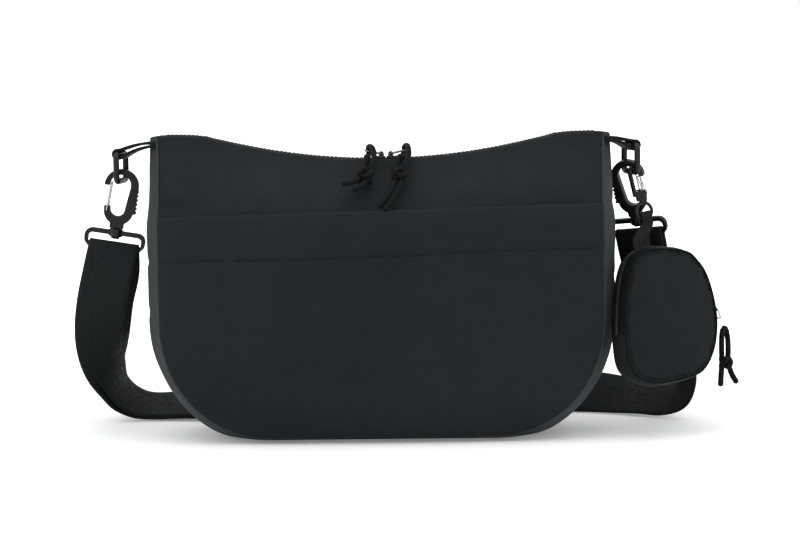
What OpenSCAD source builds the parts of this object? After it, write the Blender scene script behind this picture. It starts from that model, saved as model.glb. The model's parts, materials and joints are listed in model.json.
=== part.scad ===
// Soft handbag with a curved top zip, an outside slip pocket, a detachable
// webbing strap on snap hooks, and a small zipped pouch clipped to one side.
// The bag stands on the floor. Its front faces -Y and its width runs along X.

/* [Bag body] */
// Width of the front between its side seams
bag_w = 330; // [316:1:344]
// Height of the bag at its two top corners
bag_h = 230; // [224:1:240]
// How far the top edge dips between the corners
top_dip = 19; // [14:0.5:20]
// Depth between the front and back seams at mid height
seam_gap = 88; // [80:1:94]
// How far the front and back swell beyond their seams
belly = 10; // [6:0.5:12]
// How far the side gusset swells beyond the seams
side_swell = 13; // [10:0.5:13.5]
// Thickness of the padded cloth
cloth_t = 1.8; // [1.4:0.1:2.2]
// Height of the front pocket's mouth
mouth_h = 173; // [160:1:180]
// Gap at the middle of the pocket's mouth
mouth_gap = 7.5; // [6:0.5:9]

/* [Zip] */
// Teeth along each side of the bag's zip
zip_teeth = 120; // [60:10:160]
// Width of the whole coil, both sides together
coil_w = 5; // [4:0.2:5.4]
// Diameter of the wire of each zip's bail
bail_wire = 1.4; // [1:0.1:1.6]
// Diameter of the cord of the zip pulls
cord_d = 4.2; // [3:0.1:4.4]

/* [Strap hardware] */
// Width of the strap webbing
strap_w = 38; // [30:1:38]
// Thickness of the strap webbing
web_t = 1.5; // [1.2:0.1:1.6]
// Outside height of the side rings
ring_h = 25; // [24:0.5:27]
// Diameter of the side rings' bars
ring_bar = 4.6; // [4:0.1:4.8]
// Thickness of the snap hooks
hook_t = 6; // [5:0.2:6]
// Diameter of the snap hooks' gate wire
gate_wire = 1.1; // [0.9:0.1:1.2]

/* [Pouch] */
// Width of the pouch
pouch_w = 79; // [74:1:81]
// Height of the pouch
pouch_h = 99; // [94:1:101]
// Depth of the pouch's side band
pouch_d = 21; // [18:1:22]

/* [Hidden] */

fabric = [0.19, 0.20, 0.21];
gusset_grey = [0.29, 0.30, 0.31];
webbing = [0.15, 0.16, 0.17];
plastic = [0.06, 0.06, 0.07];
steel = [0.75, 0.75, 0.76];
cord_black = [0.05, 0.05, 0.05];

// Bag outline: straight sides, elliptical lower corners, a dipped top edge
hem_z = 5;
corner_rx = 80;
corner_z = 92;
flare = 3;
peak_x = 136;
zip_r = (peak_x * peak_x + top_dip * top_dip) / (2 * top_dip);
zip_cz = bag_h - top_dip + zip_r;
rows = [hem_z, 8, 14, 24, 40, 62, corner_z, 132, mouth_h, 190, 204, 215, 223, bag_h];
mouth_row = 8;
cols = 18;
top_seam = 11;

// Share of the half depth that the seam, and of the belly that the cloth, has by height
seam_share = [[0, 0.84], [0.09, 0.95], [0.26, 1], [0.52, 1], [0.72, 0.95], [0.85, 0.7], [0.93, 0.42], [1, 0.25]];
belly_share = [[hem_z / bag_h, 0], [0.09, 0.8], [0.26, 1], [0.6, 1], [0.8, 0.6], [0.93, 0.25], [1, 0]];
swell_share = [[0.02, 0.7], [0.06, 1], [0.4, 1], [0.7, 1], [0.8, 0.85], [1, 0.6]];

function top_z(x) = min(bag_h, zip_cz - sqrt(zip_r * zip_r - x * x));
function half_w(q) = q < corner_z
    ? bag_w / 2 - corner_rx + corner_rx * sqrt(max(0, 1 - pow((corner_z - q) / (corner_z - hem_z), 2)))
    : bag_w / 2 + flare * pow(max(0, q - mouth_h) / (bag_h - mouth_h), 2);
function rise(x, q) = q <= mouth_h ? q
    : mouth_h + (q - mouth_h) * (top_z(x) - mouth_h) / (bag_h - mouth_h);
function seam_y(q) = seam_gap / 2 * lookup(q / bag_h, seam_share);
function front_y(u, q) = seam_y(q) + belly * lookup(q / bag_h, belly_share) * (1 - pow(abs(u), 3));
function pocket_y(u, q) = front_y(u, q)
    + mouth_gap * (1 - pow(abs(u), 4)) * pow((q - hem_z) / (mouth_h - hem_z), 1.5);

// Points and faces of a cloth sheet between two depths over the same grid
function split(f) = [[f[0], f[1], f[2]], [f[0], f[2], f[3]]];
function col_u(j) = sin(90 * (2 * j / cols - 1));
function sheet_grid(last, depth) = [for (i = [0:last], j = [0:cols])
    let (q = rows[i], u = col_u(j), x = half_w(q) * u) [x, -depth(u, q), rise(x, q)]];
function sheet_faces(last) = let (c = cols + 1, n = (last + 1) * c) [
    for (i = [0:last - 1], j = [0:cols - 1]) let (a = i * c + j)
        each concat(split([a, a + c, a + c + 1, a + 1]),
                    split([n + a, n + a + 1, n + a + c + 1, n + a + c])),
    for (j = [0:cols - 1]) let (t = last * c + j)
        each concat(split([j, j + 1, n + j + 1, n + j]), split([t + 1, t, n + t, n + t + 1])),
    for (i = [0:last - 1]) let (a = i * c, b = i * c + cols)
        each concat(split([a + c, a, n + a, n + a + c]), split([b, b + c, n + b + c, n + b]))
];
module cloth_sheet(last, outer, inner) {
    polyhedron(concat(sheet_grid(last, outer), sheet_grid(last, inner)), sheet_faces(last), convexity = 6);
}

// A solid swept through rings of equal length, closed by a cap at each end
module swept(rings) {
    k = len(rings[0]);
    n = len(rings);
    side = [for (r = [0:n - 2], i = [0:k - 1]) let (a = r * k + i, b = r * k + (i + 1) % k)
        each split([a, a + k, b + k, b])];
    cap_start = [for (i = [1:k - 2]) [0, i, i + 1]];
    cap_end = [for (i = [1:k - 2]) [(n - 1) * k, (n - 1) * k + i + 1, (n - 1) * k + i]];
    polyhedron([for (r = rings) each r], concat(side, cap_start, cap_end), convexity = 8);
}
function unit(v) = v / norm(v);
function tangent(p, i) = unit(p[min(i + 1, len(p) - 1)] - p[max(i - 1, 0)]);
// Smooth curve through hand-placed points, with steps rings for each span
function smooth(p, steps) = [for (i = [0:len(p) - 2], s = [0:steps - 1]) let (
        t = s / steps, a = p[max(i - 1, 0)], b = p[i], c = p[i + 1], d = p[min(i + 2, len(p) - 1)])
        0.5 * (2 * b + (c - a) * t + (2 * a - 5 * b + 4 * c - d) * t * t + (3 * b - a - 3 * c + d) * t * t * t),
    p[len(p) - 1]];
// Ring of a round cord, and of a flat band whose width runs along w
function cord_rings(p, d, sides) = [for (i = [0:len(p) - 1]) let (
        t = tangent(p, i), n = unit(cross(abs(t[1]) > 0.9 ? [1, 0, 0] : [0, 1, 0], t)), b = cross(t, n))
    [for (k = [0:sides - 1]) p[i] + d / 2 * (cos(360 * k / sides) * n + sin(360 * k / sides) * b)]];
function band_ring(c, t, w, width, thick) = let (a = unit(w - (w * t) * t) * width / 2, b = unit(cross(t, a)) * thick / 2)
    [c - a - b, c + a - b, c + a + b, c - a + b];
function band_rings(p, w, width, thick) = [for (i = [0:len(p) - 1])
    band_ring(p[i], tangent(p, i), w[i], width, thick)];

// Bag panels
module front_panel() {
    color(fabric) cloth_sheet(len(rows) - 1, function (u, q) front_y(u, q),
        function (u, q) front_y(u, q) - cloth_t);
}
module back_panel() {
    color(fabric) mirror([0, 1, 0]) cloth_sheet(len(rows) - 1, function (u, q) front_y(u, q),
        function (u, q) front_y(u, q) - cloth_t);
}
module pocket_panel() {
    color(fabric) cloth_sheet(mouth_row, function (u, q) pocket_y(u, q) + cloth_t,
        function (u, q) pocket_y(u, q));
}
// Side and bottom gusset: from one top corner down, along the floor and up again
floor_steps = 6;
side_path = [for (i = [0:len(rows) - 1]) let (x = half_w(rows[i])) [x, rise(x, rows[i]), rows[i]]];
gusset_path = [
    for (i = [len(side_path) - 1:-1:0]) [-side_path[i][0], side_path[i][1], side_path[i][2]],
    for (i = [1:floor_steps - 1]) [half_w(hem_z) * (2 * i / floor_steps - 1), hem_z, hem_z],
    for (s = side_path) s
];
gusset_cuts = 6;
floor_press = 9;
function flat(p) = [p[0], p[1]];
function outward(path, i) = let (t = unit(flat(path[min(i + 1, len(path) - 1)]) - flat(path[max(i - 1, 0)])))
    [t[1], -t[0]];
function gusset_ring(i) = let (
        s = gusset_path[i], n = outward(gusset_path, i), e = seam_y(s[2]) - cloth_t + 0.2,
        d = s[2] > hem_z ? side_swell * lookup(s[2] / bag_h, swell_share) : floor_press,
        shell = [for (k = [0:gusset_cuts]) let (v = 2 * k / gusset_cuts - 1, p = flat(s) + n * d * (1 - v * v))
            [p[0], e * v, max(0, p[1])]])
    concat(shell, [for (k = [gusset_cuts:-1:0]) shell[k] - cloth_t * [n[0], 0, n[1]]]);
module side_gusset() {
    color(gusset_grey) swept([for (i = [0:len(gusset_path) - 1]) gusset_ring(i)]);
}

// Curved top zip: both tapes and coils follow one arc about a line above the bag
zip_half = asin(134 / zip_r);
tape_t = 1;
coil_t = 2.4;
coil_slit = 1.1;
tape_edge = coil_w / 2;
module on_zip_arc(angle) {
    translate([0, 0, zip_cz]) rotate([0, angle, 0]) translate([0, 0, -zip_r]) children();
}
module arc_strip(thick, half_angle, y_low, y_high) {
    span = zip_r * 1.05;
    translate([0, y_high, zip_cz]) rotate([90, 0, 0]) linear_extrude(y_high - y_low) intersection() {
        difference() {
            circle(zip_r + thick / 2, $fn = 720);
            circle(zip_r - thick / 2, $fn = 720);
        }
        polygon([[0, 0], [-span * tan(half_angle), -span], [span * tan(half_angle), -span]]);
    }
}
module zip_tape_front() {
    color(fabric) arc_strip(tape_t, zip_half, -top_seam + cloth_t - 0.4, -tape_edge);
}
module zip_tape_back() {
    color(fabric) arc_strip(tape_t, zip_half, tape_edge, top_seam - cloth_t + 0.4);
}
// Coil side as a ribbed strip, with each turn standing out above and below the tape
coil_half = zip_half - 0.25;
module coil_side(y_low, y_high, shift) {
    step = 2 * coil_half / zip_teeth;
    ridge = coil_t / 2;
    groove = coil_t / 2 - 0.7;
    edge = function (h) [for (i = [0:zip_teeth - 1], f = [[0, 0], [0.25, 1], [0.6, 1], [0.85, 0]])
        let (a = -coil_half + (i + f[0] + shift) * step, r = zip_r + h * (f[1] == 1 ? ridge : groove))
        [r * sin(a), -r * cos(a)]];
    upper = edge(-1);
    lower = edge(1);
    last = len(lower) - 1;
    translate([0, y_high, zip_cz]) rotate([90, 0, 0]) linear_extrude(y_high - y_low)
        polygon([for (p = upper) p, for (i = [last:-1:0]) lower[i]]);
}
module zip_coil_front() {
    color(plastic) coil_side(-tape_edge, -coil_slit / 2, 0);
}
module zip_coil_back() {
    color(plastic) coil_side(coil_slit / 2, tape_edge, 0.5);
}
// Folded cloth tab that covers each end of the zip and closes the top out to the corner
end_from = 130;
end_to = 166;
module zip_end_tab(side) {
    color(fabric) translate([side * (end_from + end_to) / 2, 0, bag_h + 0.62]) difference() {
        cube([end_to - end_from, 2 * top_seam, 1.2], center = true);
        for (y = [-1, 1]) translate([-side * (end_to - end_from) / 2, y * top_seam, 0]) rotate([0, 0, 45])
            cube([3, 3, 2], center = true);
    }
}

// Zip slider: two plates joined by a divider blade that runs in the coil's slit
slider_l = 10.5;
slider_w = 9.4;
plate_t = 1.2;
plate_gap = coil_t / 2 + 0.35;
crown_z = plate_gap + plate_t + 1.9;
crown_shift = 2;
module plate_outline() {
    intersection() {
        square([slider_l, slider_w], center = true);
        translate([-1.2, 0]) circle(slider_l * 0.68, $fn = 64);
        translate([1.2, 0]) circle(slider_l * 0.68, $fn = 64);
    }
}
module slider_plate() {
    translate([0, 0, plate_gap]) linear_extrude(plate_t) plate_outline();
    for (y = [-1, 1]) translate([0, y * (slider_w / 2 - 0.5), plate_gap - 0.3])
        cube([slider_l * 0.6, 1, 0.8], center = true);
}
module zip_slider(head) {
    slider_plate();
    mirror([0, 0, 1]) slider_plate();
    cube([slider_l * 0.7, 0.5, 2 * plate_gap + 0.4], center = true);
    // Crown: a loop near the slider's head that the bail's bar turns in
    translate([head * crown_shift, 0, crown_z - 1.9]) rotate([90, 0, 0]) linear_extrude(2.6, center = true) difference() {
        union() {
            translate([0, 1.7]) circle(2, $fn = 48);
            translate([-2, -0.6]) square([4, 2.3]);
        }
        translate([0, 1.7]) circle(bail_wire / 2 + 0.1, $fn = 48);
    }
}
crown_hole = crown_z - 0.2;
rest_left = 0.15;
rest_right = -1.143;
module zip_slider_left() {
    color(plastic) on_zip_arc(rest_left) zip_slider(1);
}
module zip_slider_right() {
    color(plastic) on_zip_arc(rest_right) zip_slider(-1);
}
// Bail: a bent wire D whose bar lies in the crown, pointing away from the slider's head
bail_w = 9;
bail_l = 12.6;
bail_corner = 3;
module wire_bar(a, b, d) {
    v = b - a;
    translate(a) rotate([0, acos(v[2] / norm(v)), atan2(v[1], v[0])]) cylinder(d = d, h = norm(v), $fn = 24);
}
bail_rise = 12;
module zip_bail(head) {
    translate([head * crown_shift, 0, crown_hole]) rotate([0, head * (90 + bail_rise), 0])
        bar_frame(bail_w, bail_l, bail_wire, bail_corner);
}
module zip_bail_left() {
    color(steel) on_zip_arc(rest_left) zip_bail(1);
}
module zip_bail_right() {
    color(steel) on_zip_arc(rest_right) zip_bail(-1);
}
// Cord pulls: one cord looped through the bail, knotted, with two free tails
pull_route_left = [[-28, -47.5, 196], [-22.5, -43.6, 196.5], [-17.5, -38.8, 198], [-13.2, -32.9, 200.8], [-12, -27.2, 206],
    [-10.8, -20.2, 211.4], [-10.4, -13.5, 213.9], [-9.5, -7, 213.9], [-8.9, -1.5, 214.8], [-8.8, 0.9, 217.8], [-9, -0.2, 220.4],
    [-7, -5, 221], [-5.5, -11, 219.4], [-4.6, -16.9, 216], [-5, -23, 211.2], [-7, -28.6, 205.7], [-8.8, -34.3, 200],
    [-11.5, -40.2, 196.2], [-15.5, -45, 193], [-20, -48, 191]];
pull_route_right = [[-1, -51.5, 178.5], [4.3, -48, 185], [9.3, -41.3, 193], [12, -33, 200.5], [11, -27, 206.5], [12.6, -20.4, 211.4],
    [14.8, -13.5, 213.9], [16.4, -7, 214], [17.5, -1.5, 214.9], [17.5, 0.9, 217.8], [18.6, 0.4, 220.8], [20.3, -4.5, 221.6],
    [21.2, -10.5, 220], [21.5, -16.8, 216.4], [20.3, -22.8, 211.7], [18, -28.3, 206.2], [16.6, -33.8, 200.5],
    [13.9, -42.2, 191.8], [8.7, -49, 184], [3.4, -54.5, 177]];
knot_left = [-11, -33.4, 200.5];
knot_right = [14.3, -33.6, 200.8];
knot_r = 5.6;
cord_steps = 2;
module cord_pull(route) {
    color(cord_black) swept(cord_rings(smooth(route, cord_steps), cord_d, 8));
}
module cord_knot(at) {
    color(cord_black) translate(at) sphere(knot_r, $fn = 40);
}

// Side rings hang in webbing tabs that are sewn into the gusset's top ends
ring_w = 30;
ring_corner = 4;
ring_top_left = [-197, 0, 217.4];
ring_top_right = [190, 0, 220.4];
ring_turn_left = -8;
ring_turn_right = 16;
ring_drop = ring_h - ring_bar;
// Rectangular frame of round bar in the YZ plane, hanging from its top bar
module bar_frame(w, h, d, corner) {
    for (y = [-1, 1]) {
        translate([0, y * w / 2, -h + corner]) cylinder(d = d, h = h - 2 * corner, $fn = 48);
        for (z = [0, 1]) translate([0, y * (w / 2 - corner), -h * z + corner * (2 * z - 1)])
            rotate([90, 0, 90]) mirror([y > 0 ? 0 : 1, 0]) mirror([0, z]) rotate_extrude(angle = 90, $fn = 64)
            translate([corner, 0]) circle(d = d, $fn = 48);
    }
    for (z = [0, -h]) translate([0, w / 2 - corner, z]) rotate([90, 0, 0])
        cylinder(d = d, h = w - 2 * corner, $fn = 48);
}
module side_ring(top, turn) {
    color(plastic) translate(top) rotate([0, 0, turn])
        bar_frame(ring_w - ring_bar, ring_drop, ring_bar, ring_corner);
}
module side_ring_left() {
    side_ring(ring_top_left, ring_turn_left);
}
module side_ring_right() {
    side_ring(ring_top_right, ring_turn_right);
}
// Tab: webbing taken round the ring's top bar and back into the seam
tab_w = 19;
tab_reach = 29;
tab_lift = 7.5;
module side_tab(lift, reach) {
    near = ring_bar / 2 + 0.3;
    far = near + web_t;
    bend = function (r) [for (a = [90:15:300]) r * [cos(a), sin(a)]];
    outer = concat([[reach, lift + web_t]], bend(far), [[reach, lift - web_t]]);
    inner = concat([[reach * 0.7, lift]], bend(near));
    rotate([90, 0, 0]) linear_extrude(tab_w, center = true) polygon(concat(outer, inner),
        [[for (i = [0:len(outer) - 1]) i], [for (i = [0:len(inner) - 1]) len(outer) + i]]);
}
module side_tab_left() {
    color(webbing) translate(ring_top_left) rotate([0, 0, ring_turn_left]) side_tab(tab_lift, tab_reach);
}
module side_tab_right() {
    color(webbing) translate(ring_top_right) rotate([0, 0, ring_turn_right]) mirror([1, 0, 0])
        side_tab(tab_lift - 2, tab_reach - 6.9);
}

// Snap hook, drawn from its swivel: the spine is on +X and the gate on -X
seat_v = 40;
hook_lean_left = 9;
hook_lean_right = -13;
hook_pitch_right = 12;
hook_turn_right = -25;
loop_turn_right = -28;
function leaned(v, a) = [v[0] * cos(a) + v[2] * sin(a), v[1], -v[0] * sin(a) + v[2] * cos(a)];
function pitched(v, a) = [v[0], v[1] * cos(a) - v[2] * sin(a), v[1] * sin(a) + v[2] * cos(a)];
function turned(v, a) = [v[0] * cos(a) - v[1] * sin(a), v[0] * sin(a) + v[1] * cos(a), v[2]];
function dir_left(v) = leaned(v, hook_lean_left);
function dir_right(v) = leaned(pitched(v, hook_pitch_right), hook_lean_right);
function loop_dir_right(v) = dir_right(turned(v, loop_turn_right));
ring_low_left = ring_top_left - [0, 0, ring_drop];
ring_low_right = ring_top_right - [0, 0, ring_drop];
seat_right = ring_low_right + 5 * turned([0, 1, 0], ring_turn_right);
swivel_left = ring_low_left - dir_left([-0.9, 0, seat_v]);
swivel_right = seat_right - dir_right(turned([0.9, 0, seat_v], hook_turn_right));
hook_top_r = 13;
hook_top_v = 36;
hook_low_r = 11;
hook_low_v = 17;
gate_pivot = [-8.7, 16.5];
gate_tip = [-7.7, 38];
post_r = 2.05;
module eye_shape(r_top, v_top, r_low, v_low, shift) {
    translate([shift, v_top]) circle(r_top, $fn = 96);
    translate([shift, v_low]) circle(r_low, $fn = 96);
    polygon([[shift - r_top, v_top], [shift - r_low, v_low], [shift + r_low, v_low], [shift + r_top, v_top]]);
}
module snap_hook() {
    difference() {
        rotate([90, 0, 0]) linear_extrude(hook_t, center = true) {
            difference() {
                union() {
                    eye_shape(hook_top_r, hook_top_v, hook_low_r, hook_low_v, 0);
                    translate([-5.2, 3.6]) square([10.4, 6]);
                    for (v = [17:3.2:33]) translate([12.2, v]) circle(1.3, $fn = 32);
                }
                eye_shape(8, 36.5, 5.6, 18.5, -0.9);
                translate([-16, 20]) square([9.5, 15.5]);
            }
        }
        translate([gate_pivot[0], 0, gate_pivot[1]]) rotate([90, 0, 0])
            cylinder(d = gate_wire + 0.14, h = hook_t + 2, center = true, $fn = 32);
    }
    translate([0, 0, -4.6]) cylinder(r = post_r, h = 9, $fn = 48);
    translate([0, 0, -4.6]) cylinder(r = 3.3, h = 1.3, $fn = 48);
}
// Gate: one bent wire, with a bar in the pivot bore, two legs and a bar behind the nose
module gate_loop(pivot, tip, reach, d) {
    rise = tip - pivot;
    translate([tip[0], 0, tip[1]]) rotate([0, atan2(rise[0], rise[1]), 0])
        bar_frame(2 * reach, norm(rise), d, d * 0.72);
}
module at_hook_left() {
    translate(swivel_left) rotate([0, hook_lean_left, 0]) children();
}
module at_swivel_right() {
    translate(swivel_right) rotate([0, hook_lean_right, 0]) rotate([hook_pitch_right, 0, 0]) children();
}
module at_hook_right() {
    at_swivel_right() rotate([0, 0, hook_turn_right]) mirror([1, 0, 0]) children();
}
gate_reach = hook_t / 2 + gate_wire / 2 + 0.35;
module snap_hook_left() {
    color(plastic) at_hook_left() snap_hook();
}
module snap_hook_right() {
    color(plastic) at_hook_right() snap_hook();
}
module hook_gate_left() {
    color(steel) at_hook_left() gate_loop(gate_pivot, gate_tip, gate_reach, gate_wire);
}
module hook_gate_right() {
    color(steel) at_hook_right() gate_loop(gate_pivot, gate_tip, gate_reach, gate_wire);
}

// Swivel loop: holds the hook's post in its top bar and the webbing on its low bar
loop_w = strap_w + 8.6;
loop_bar_v = -10.5;
loop_bar_r = 2;
loop_t = 4.2;
boss_r = 5;
module soft_slot(w, h, r, v) {
    translate([-w / 2 + r, v - h / 2]) square([w - 2 * r, h]);
    translate([-w / 2, v - h / 2 + r]) square([w, h - 2 * r]);
    for (x = [-1, 1], y = [-1, 1]) translate([x * (w / 2 - r), v + y * (h / 2 - r)]) circle(r, $fn = 64);
}
module swivel_loop() {
    difference() {
        union() {
            rotate([90, 0, 0]) linear_extrude(loop_t, center = true) difference() {
                soft_slot(loop_w, 14.4, 6.2, -5.3);
                soft_slot(strap_w + 2.4, 11, 3, -7.3);
                translate([-strap_w / 2 - 0.6, loop_bar_v - 4]) square([strap_w + 1.2, 8]);
            }
            translate([0, 0, -3]) cylinder(r = boss_r, h = 6.3, $fn = 64);
            translate([0, 0, loop_bar_v]) rotate([0, 90, 0])
                cylinder(r = loop_bar_r, h = strap_w + 3, center = true, $fn = 48);
        }
        translate([0, 0, -5]) cylinder(r = post_r + 0.09, h = 12, $fn = 48);
    }
}
module swivel_loop_left() {
    color(plastic) translate(swivel_left) rotate([0, hook_lean_left, 0]) swivel_loop();
}
module swivel_loop_right() {
    color(plastic) at_swivel_right() rotate([0, 0, loop_turn_right]) swivel_loop();
}

// Strap: one band from the right loop, down, along the floor behind the bag, up to
// the left loop, round its bar and back to the adjuster. Each stop is a centre point
// and the direction of the band's width.
bar_left = swivel_left + loop_bar_v * dir_left([0, 0, 1]);
bar_right = swivel_right + loop_bar_v * dir_right([0, 0, 1]);
loop_w_left = dir_left([-1, 0, 0]);
loop_w_right = loop_dir_right([1, 0, 0]);
fold_r = loop_bar_r + 0.4 + web_t / 2;
function fold(bar, back, up, from, to) = [for (k = [0:6]) let (a = from + (to - from) * k / 6)
    bar + fold_r * (sin(a) * up - cos(a) * back)];
function repeat(v, n) = [for (i = [1:n]) v];
glide_x = -40;
route_right = [[201, 16, 134], [206.5, 20, 112], [215, 26, 86], [227, 33, 60], [236, 42, 38], [232, 52, 23],
    [214, 65, 18.5], [186, 80, 20], [150, 88, 20], [105, 84, 17], [60, 76, 14]];
width_right = [[0.86, -0.5, 0.08], [0.82, -0.57, 0.04], [0.78, -0.63, 0], [0.7, -0.7, -0.05], [0.58, -0.78, -0.2],
    [0.3, -0.78, -0.5], [0.05, -0.68, -0.72], [0, -0.6, -0.8], [0, -0.6, -0.8], [0, -0.75, -0.65], [0, -0.88, -0.47]];
run_w = [0, -0.91, -0.42];
run_a = [20, 73, 12.6];
run_b = [-110, 66, 12.6];
route_left = [[-160, 62, 11.5], [-196, 55, 12], [-216, 44, 24], [-222, 30, 46], [-221, 18, 72], [-216, 8, 102], [-209, -1, 128]];
width_left = [[0, -0.91, -0.42], [-0.35, -0.85, -0.45], [-0.75, -0.6, -0.35], [-0.9, -0.42, -0.1], [-0.97, -0.2, 0],
    [-0.98, -0.06, 0.1], [-0.99, 0, 0.15]];
route_back = [[-205, 9, 128], [-209, 19, 104], [-213, 29, 78], [-213, 40, 54], [-206, 50, 34], [-188, 58, 20], [-158, 64, 13]];
band_up = unit(cross(run_w, [1, 0, 0]));
layer = web_t + 0.45;
glide_bar_up = layer + web_t / 2 + 0.3 + 1.6;
glide_at = run_b + (run_a - run_b) * (glide_x - run_b[0]) / (run_a[0] - run_b[0]);
glide_fold_r = 1.6 + 0.3 + web_t / 2;
main_points = concat(fold(bar_right, loop_dir_right([0, 1, 0]), dir_right([0, 0, 1]), 180, 0), smooth(route_right, 2), [run_a, run_b],
    smooth(route_left, 2), fold(bar_left, [0, 1, 0], dir_left([0, 0, 1]), 0, 180), smooth(route_back, 2),
    [run_b + layer * band_up, glide_at + layer * band_up],
    [for (a = [30:30:150]) glide_at + glide_bar_up * band_up + glide_fold_r * (sin(a) * [1, 0, 0] - cos(a) * band_up)],
    [glide_at + (glide_bar_up + glide_fold_r) * band_up,
     glide_at + [-30, -1.6, 0] + (layer * 2.2) * band_up]);
main_widths = concat(repeat(loop_w_right, 7), smooth(width_right, 2), [run_w, run_w],
    smooth(width_left, 2), repeat(loop_w_left, 7), smooth([for (i = [6:-1:0]) width_left[i]], 2),
    repeat(run_w, 9));
stub_end = [206.5, 24.5, 124];
module strap_webbing() {
    color(webbing) swept(band_rings(concat([stub_end], main_points), concat([loop_w_right], main_widths),
        strap_w, web_t));
}
// Adjuster: a moulded frame whose middle bar stands above its outer bars
module strap_adjuster() {
    slope = atan2(-run_w[2], -run_w[1]);
    color(plastic) translate(glide_at) rotate([slope, 0, 0]) {
        for (y = [-1, 1]) translate([0, y * (strap_w / 2 + 2.1), glide_bar_up / 2 - 1])
            cube([24, 3, glide_bar_up + 3.2], center = true);
        for (x = [-1, 1]) translate([x * 10.4, 0, -web_t / 2 - 0.3 - 1.2])
            cube([3.2, strap_w + 5, 2.4], center = true);
        translate([0, 0, glide_bar_up]) rotate([90, 0, 0])
            cylinder(r = 1.6, h = strap_w + 4, center = true, $fn = 40);
    }
}

// Pouch: two domed faces and a side band, half of it cloth and half a zip
pouch_at = [211.7, -23.8, 93.3];
pouch_turn = 23;
pouch_lean = -4;
pouch_pitch = -9;
pouch_belly = 4.5;
pouch_t = 1.5;
module at_pouch() {
    translate(pouch_at) rotate([0, 0, pouch_turn]) rotate([0, pouch_lean, 0]) rotate([pouch_pitch, 0, 0]) children();
}
// Egg-shaped outline from the middle of the bottom edge, anticlockwise as seen from the front
outline_shape = [
    [4.4, -45.6], [12.0, -44.7], [19.3, -42.6], [25.2, -37.8], [29.7, -31.6], [33.1, -24.8],
    [35.3, -17.5], [36.8, -10.0], [37.2, -2.4], [36.9, 5.3], [36.0, 12.9], [34.5, 20.4], [32.0, 27.6],
    [27.9, 34.1], [22.9, 39.7], [15.8, 42.7], [8.3, 44.2], [0.8, 45.4], [-6.8, 46.2], [-14.3, 44.8],
    [-20.8, 40.8], [-25.0, 34.5], [-28.0, 27.5], [-30.4, 20.2], [-32.4, 12.8], [-34.0, 5.3],
    [-35.4, -2.2], [-36.5, -9.7], [-37.1, -17.4], [-37.2, -25.0], [-36.2, -32.6], [-32.1, -38.9],
    [-25.7, -43.0], [-18.5, -45.6], [-10.9, -46.2], [-3.2, -46.0]
];
outline = [for (p = outline_shape) [p[0] * pouch_w / 74.4, p[1] * pouch_h / 92.4]];
n_out = len(outline);
dish_rings = [1, 0.92, 0.75, 0.45];
function dish_y(s) = pouch_d / 2 + pouch_belly * (1 - pow(s, 2.4));
function dish_points(back) = [for (s = dish_rings, p = outline) [p[0] * s, -dish_y(s) + back, p[1] * s],
    [0, -dish_y(0) + back, 0]];
module pouch_dish() {
    n = n_out;
    m = len(dish_rings) * n + 1;
    faces = [for (r = [0:len(dish_rings) - 2], i = [0:n - 1]) let (a = r * n + i, b = r * n + (i + 1) % n)
                each concat(split([a, a + n, b + n, b]), split([m + a, m + b, m + b + n, m + a + n])),
             for (i = [0:n - 1]) let (a = (len(dish_rings) - 1) * n + i, b = (len(dish_rings) - 1) * n + (i + 1) % n)
                each [[a, m - 1, b], [m + a, m + b, 2 * m - 1]],
             for (i = [0:n - 1]) let (b = (i + 1) % n) each split([i, b, m + b, m + i])];
    polyhedron(concat(dish_points(0), dish_points(pouch_t)), faces, convexity = 4);
}
module pouch_front() {
    color(fabric) at_pouch() pouch_dish();
}
module pouch_back() {
    color(fabric) at_pouch() mirror([0, 1, 0]) pouch_dish();
}
// Strip of the side band between two places on the outline
function band_strip(list, y_low, y_high, swell) = [for (i = list) let (
        p = outline[i % n_out], q = outline[(i + 1) % n_out], o = outline[(i + n_out - 1) % n_out],
        t = unit(q - o), n = [t[1], -t[0]],
        shell = [for (k = [0:4]) let (y = y_low + (y_high - y_low) * k / 4, e = 2 * y / pouch_d,
            s = p + n * swell * (1 - e * e)) [s[0], y, s[1]]])
    concat(shell, [for (k = [4:-1:0]) shell[k] - pouch_t * [n[0], 0, n[1]]])];
band_edge = pouch_d / 2 - pouch_t + 0.2;
pouch_coil_half = 2;
zip_from = 7;
zip_to = 27;
band_swell = 3.0;
module pouch_gusset() {
    color(gusset_grey) at_pouch() swept(band_strip([for (i = [zip_to:n_out + zip_from]) i], -band_edge, band_edge, band_swell));
}
module pouch_zip_tape_front() {
    color(fabric) at_pouch() swept(band_strip([for (i = [zip_from:zip_to]) i], -band_edge, -pouch_coil_half, band_swell));
}
module pouch_zip_tape_back() {
    color(fabric) at_pouch() swept(band_strip([for (i = [zip_from:zip_to]) i], pouch_coil_half, band_edge, band_swell));
}
coil_rib = 4;
module pouch_zip_coil() {
    spans = [for (i = [zip_from:zip_to - 1]) [outline[i], outline[i + 1]]];
    edge = function (deep) [for (s = spans) let (v = s[1] - s[0], n = unit([v[1], -v[0]]),
            count = max(1, round(norm(v) / coil_rib)))
        for (k = [0:count - 1], f = [[0, 0.2], [0.3, 1], [0.7, 1]])
            s[0] + v * (k + f[0]) / count + n * (band_swell - 1.3 + f[1] * deep)];
    outer = edge(1.5);
    inner = edge(-0.4);
    last = len(inner) - 1;
    color(plastic) at_pouch() rotate([90, 0, 0]) linear_extrude(2 * pouch_coil_half - 0.2, center = true)
        polygon([for (p = outer) p, for (i = [last:-1:0]) inner[i]]);
}
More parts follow.
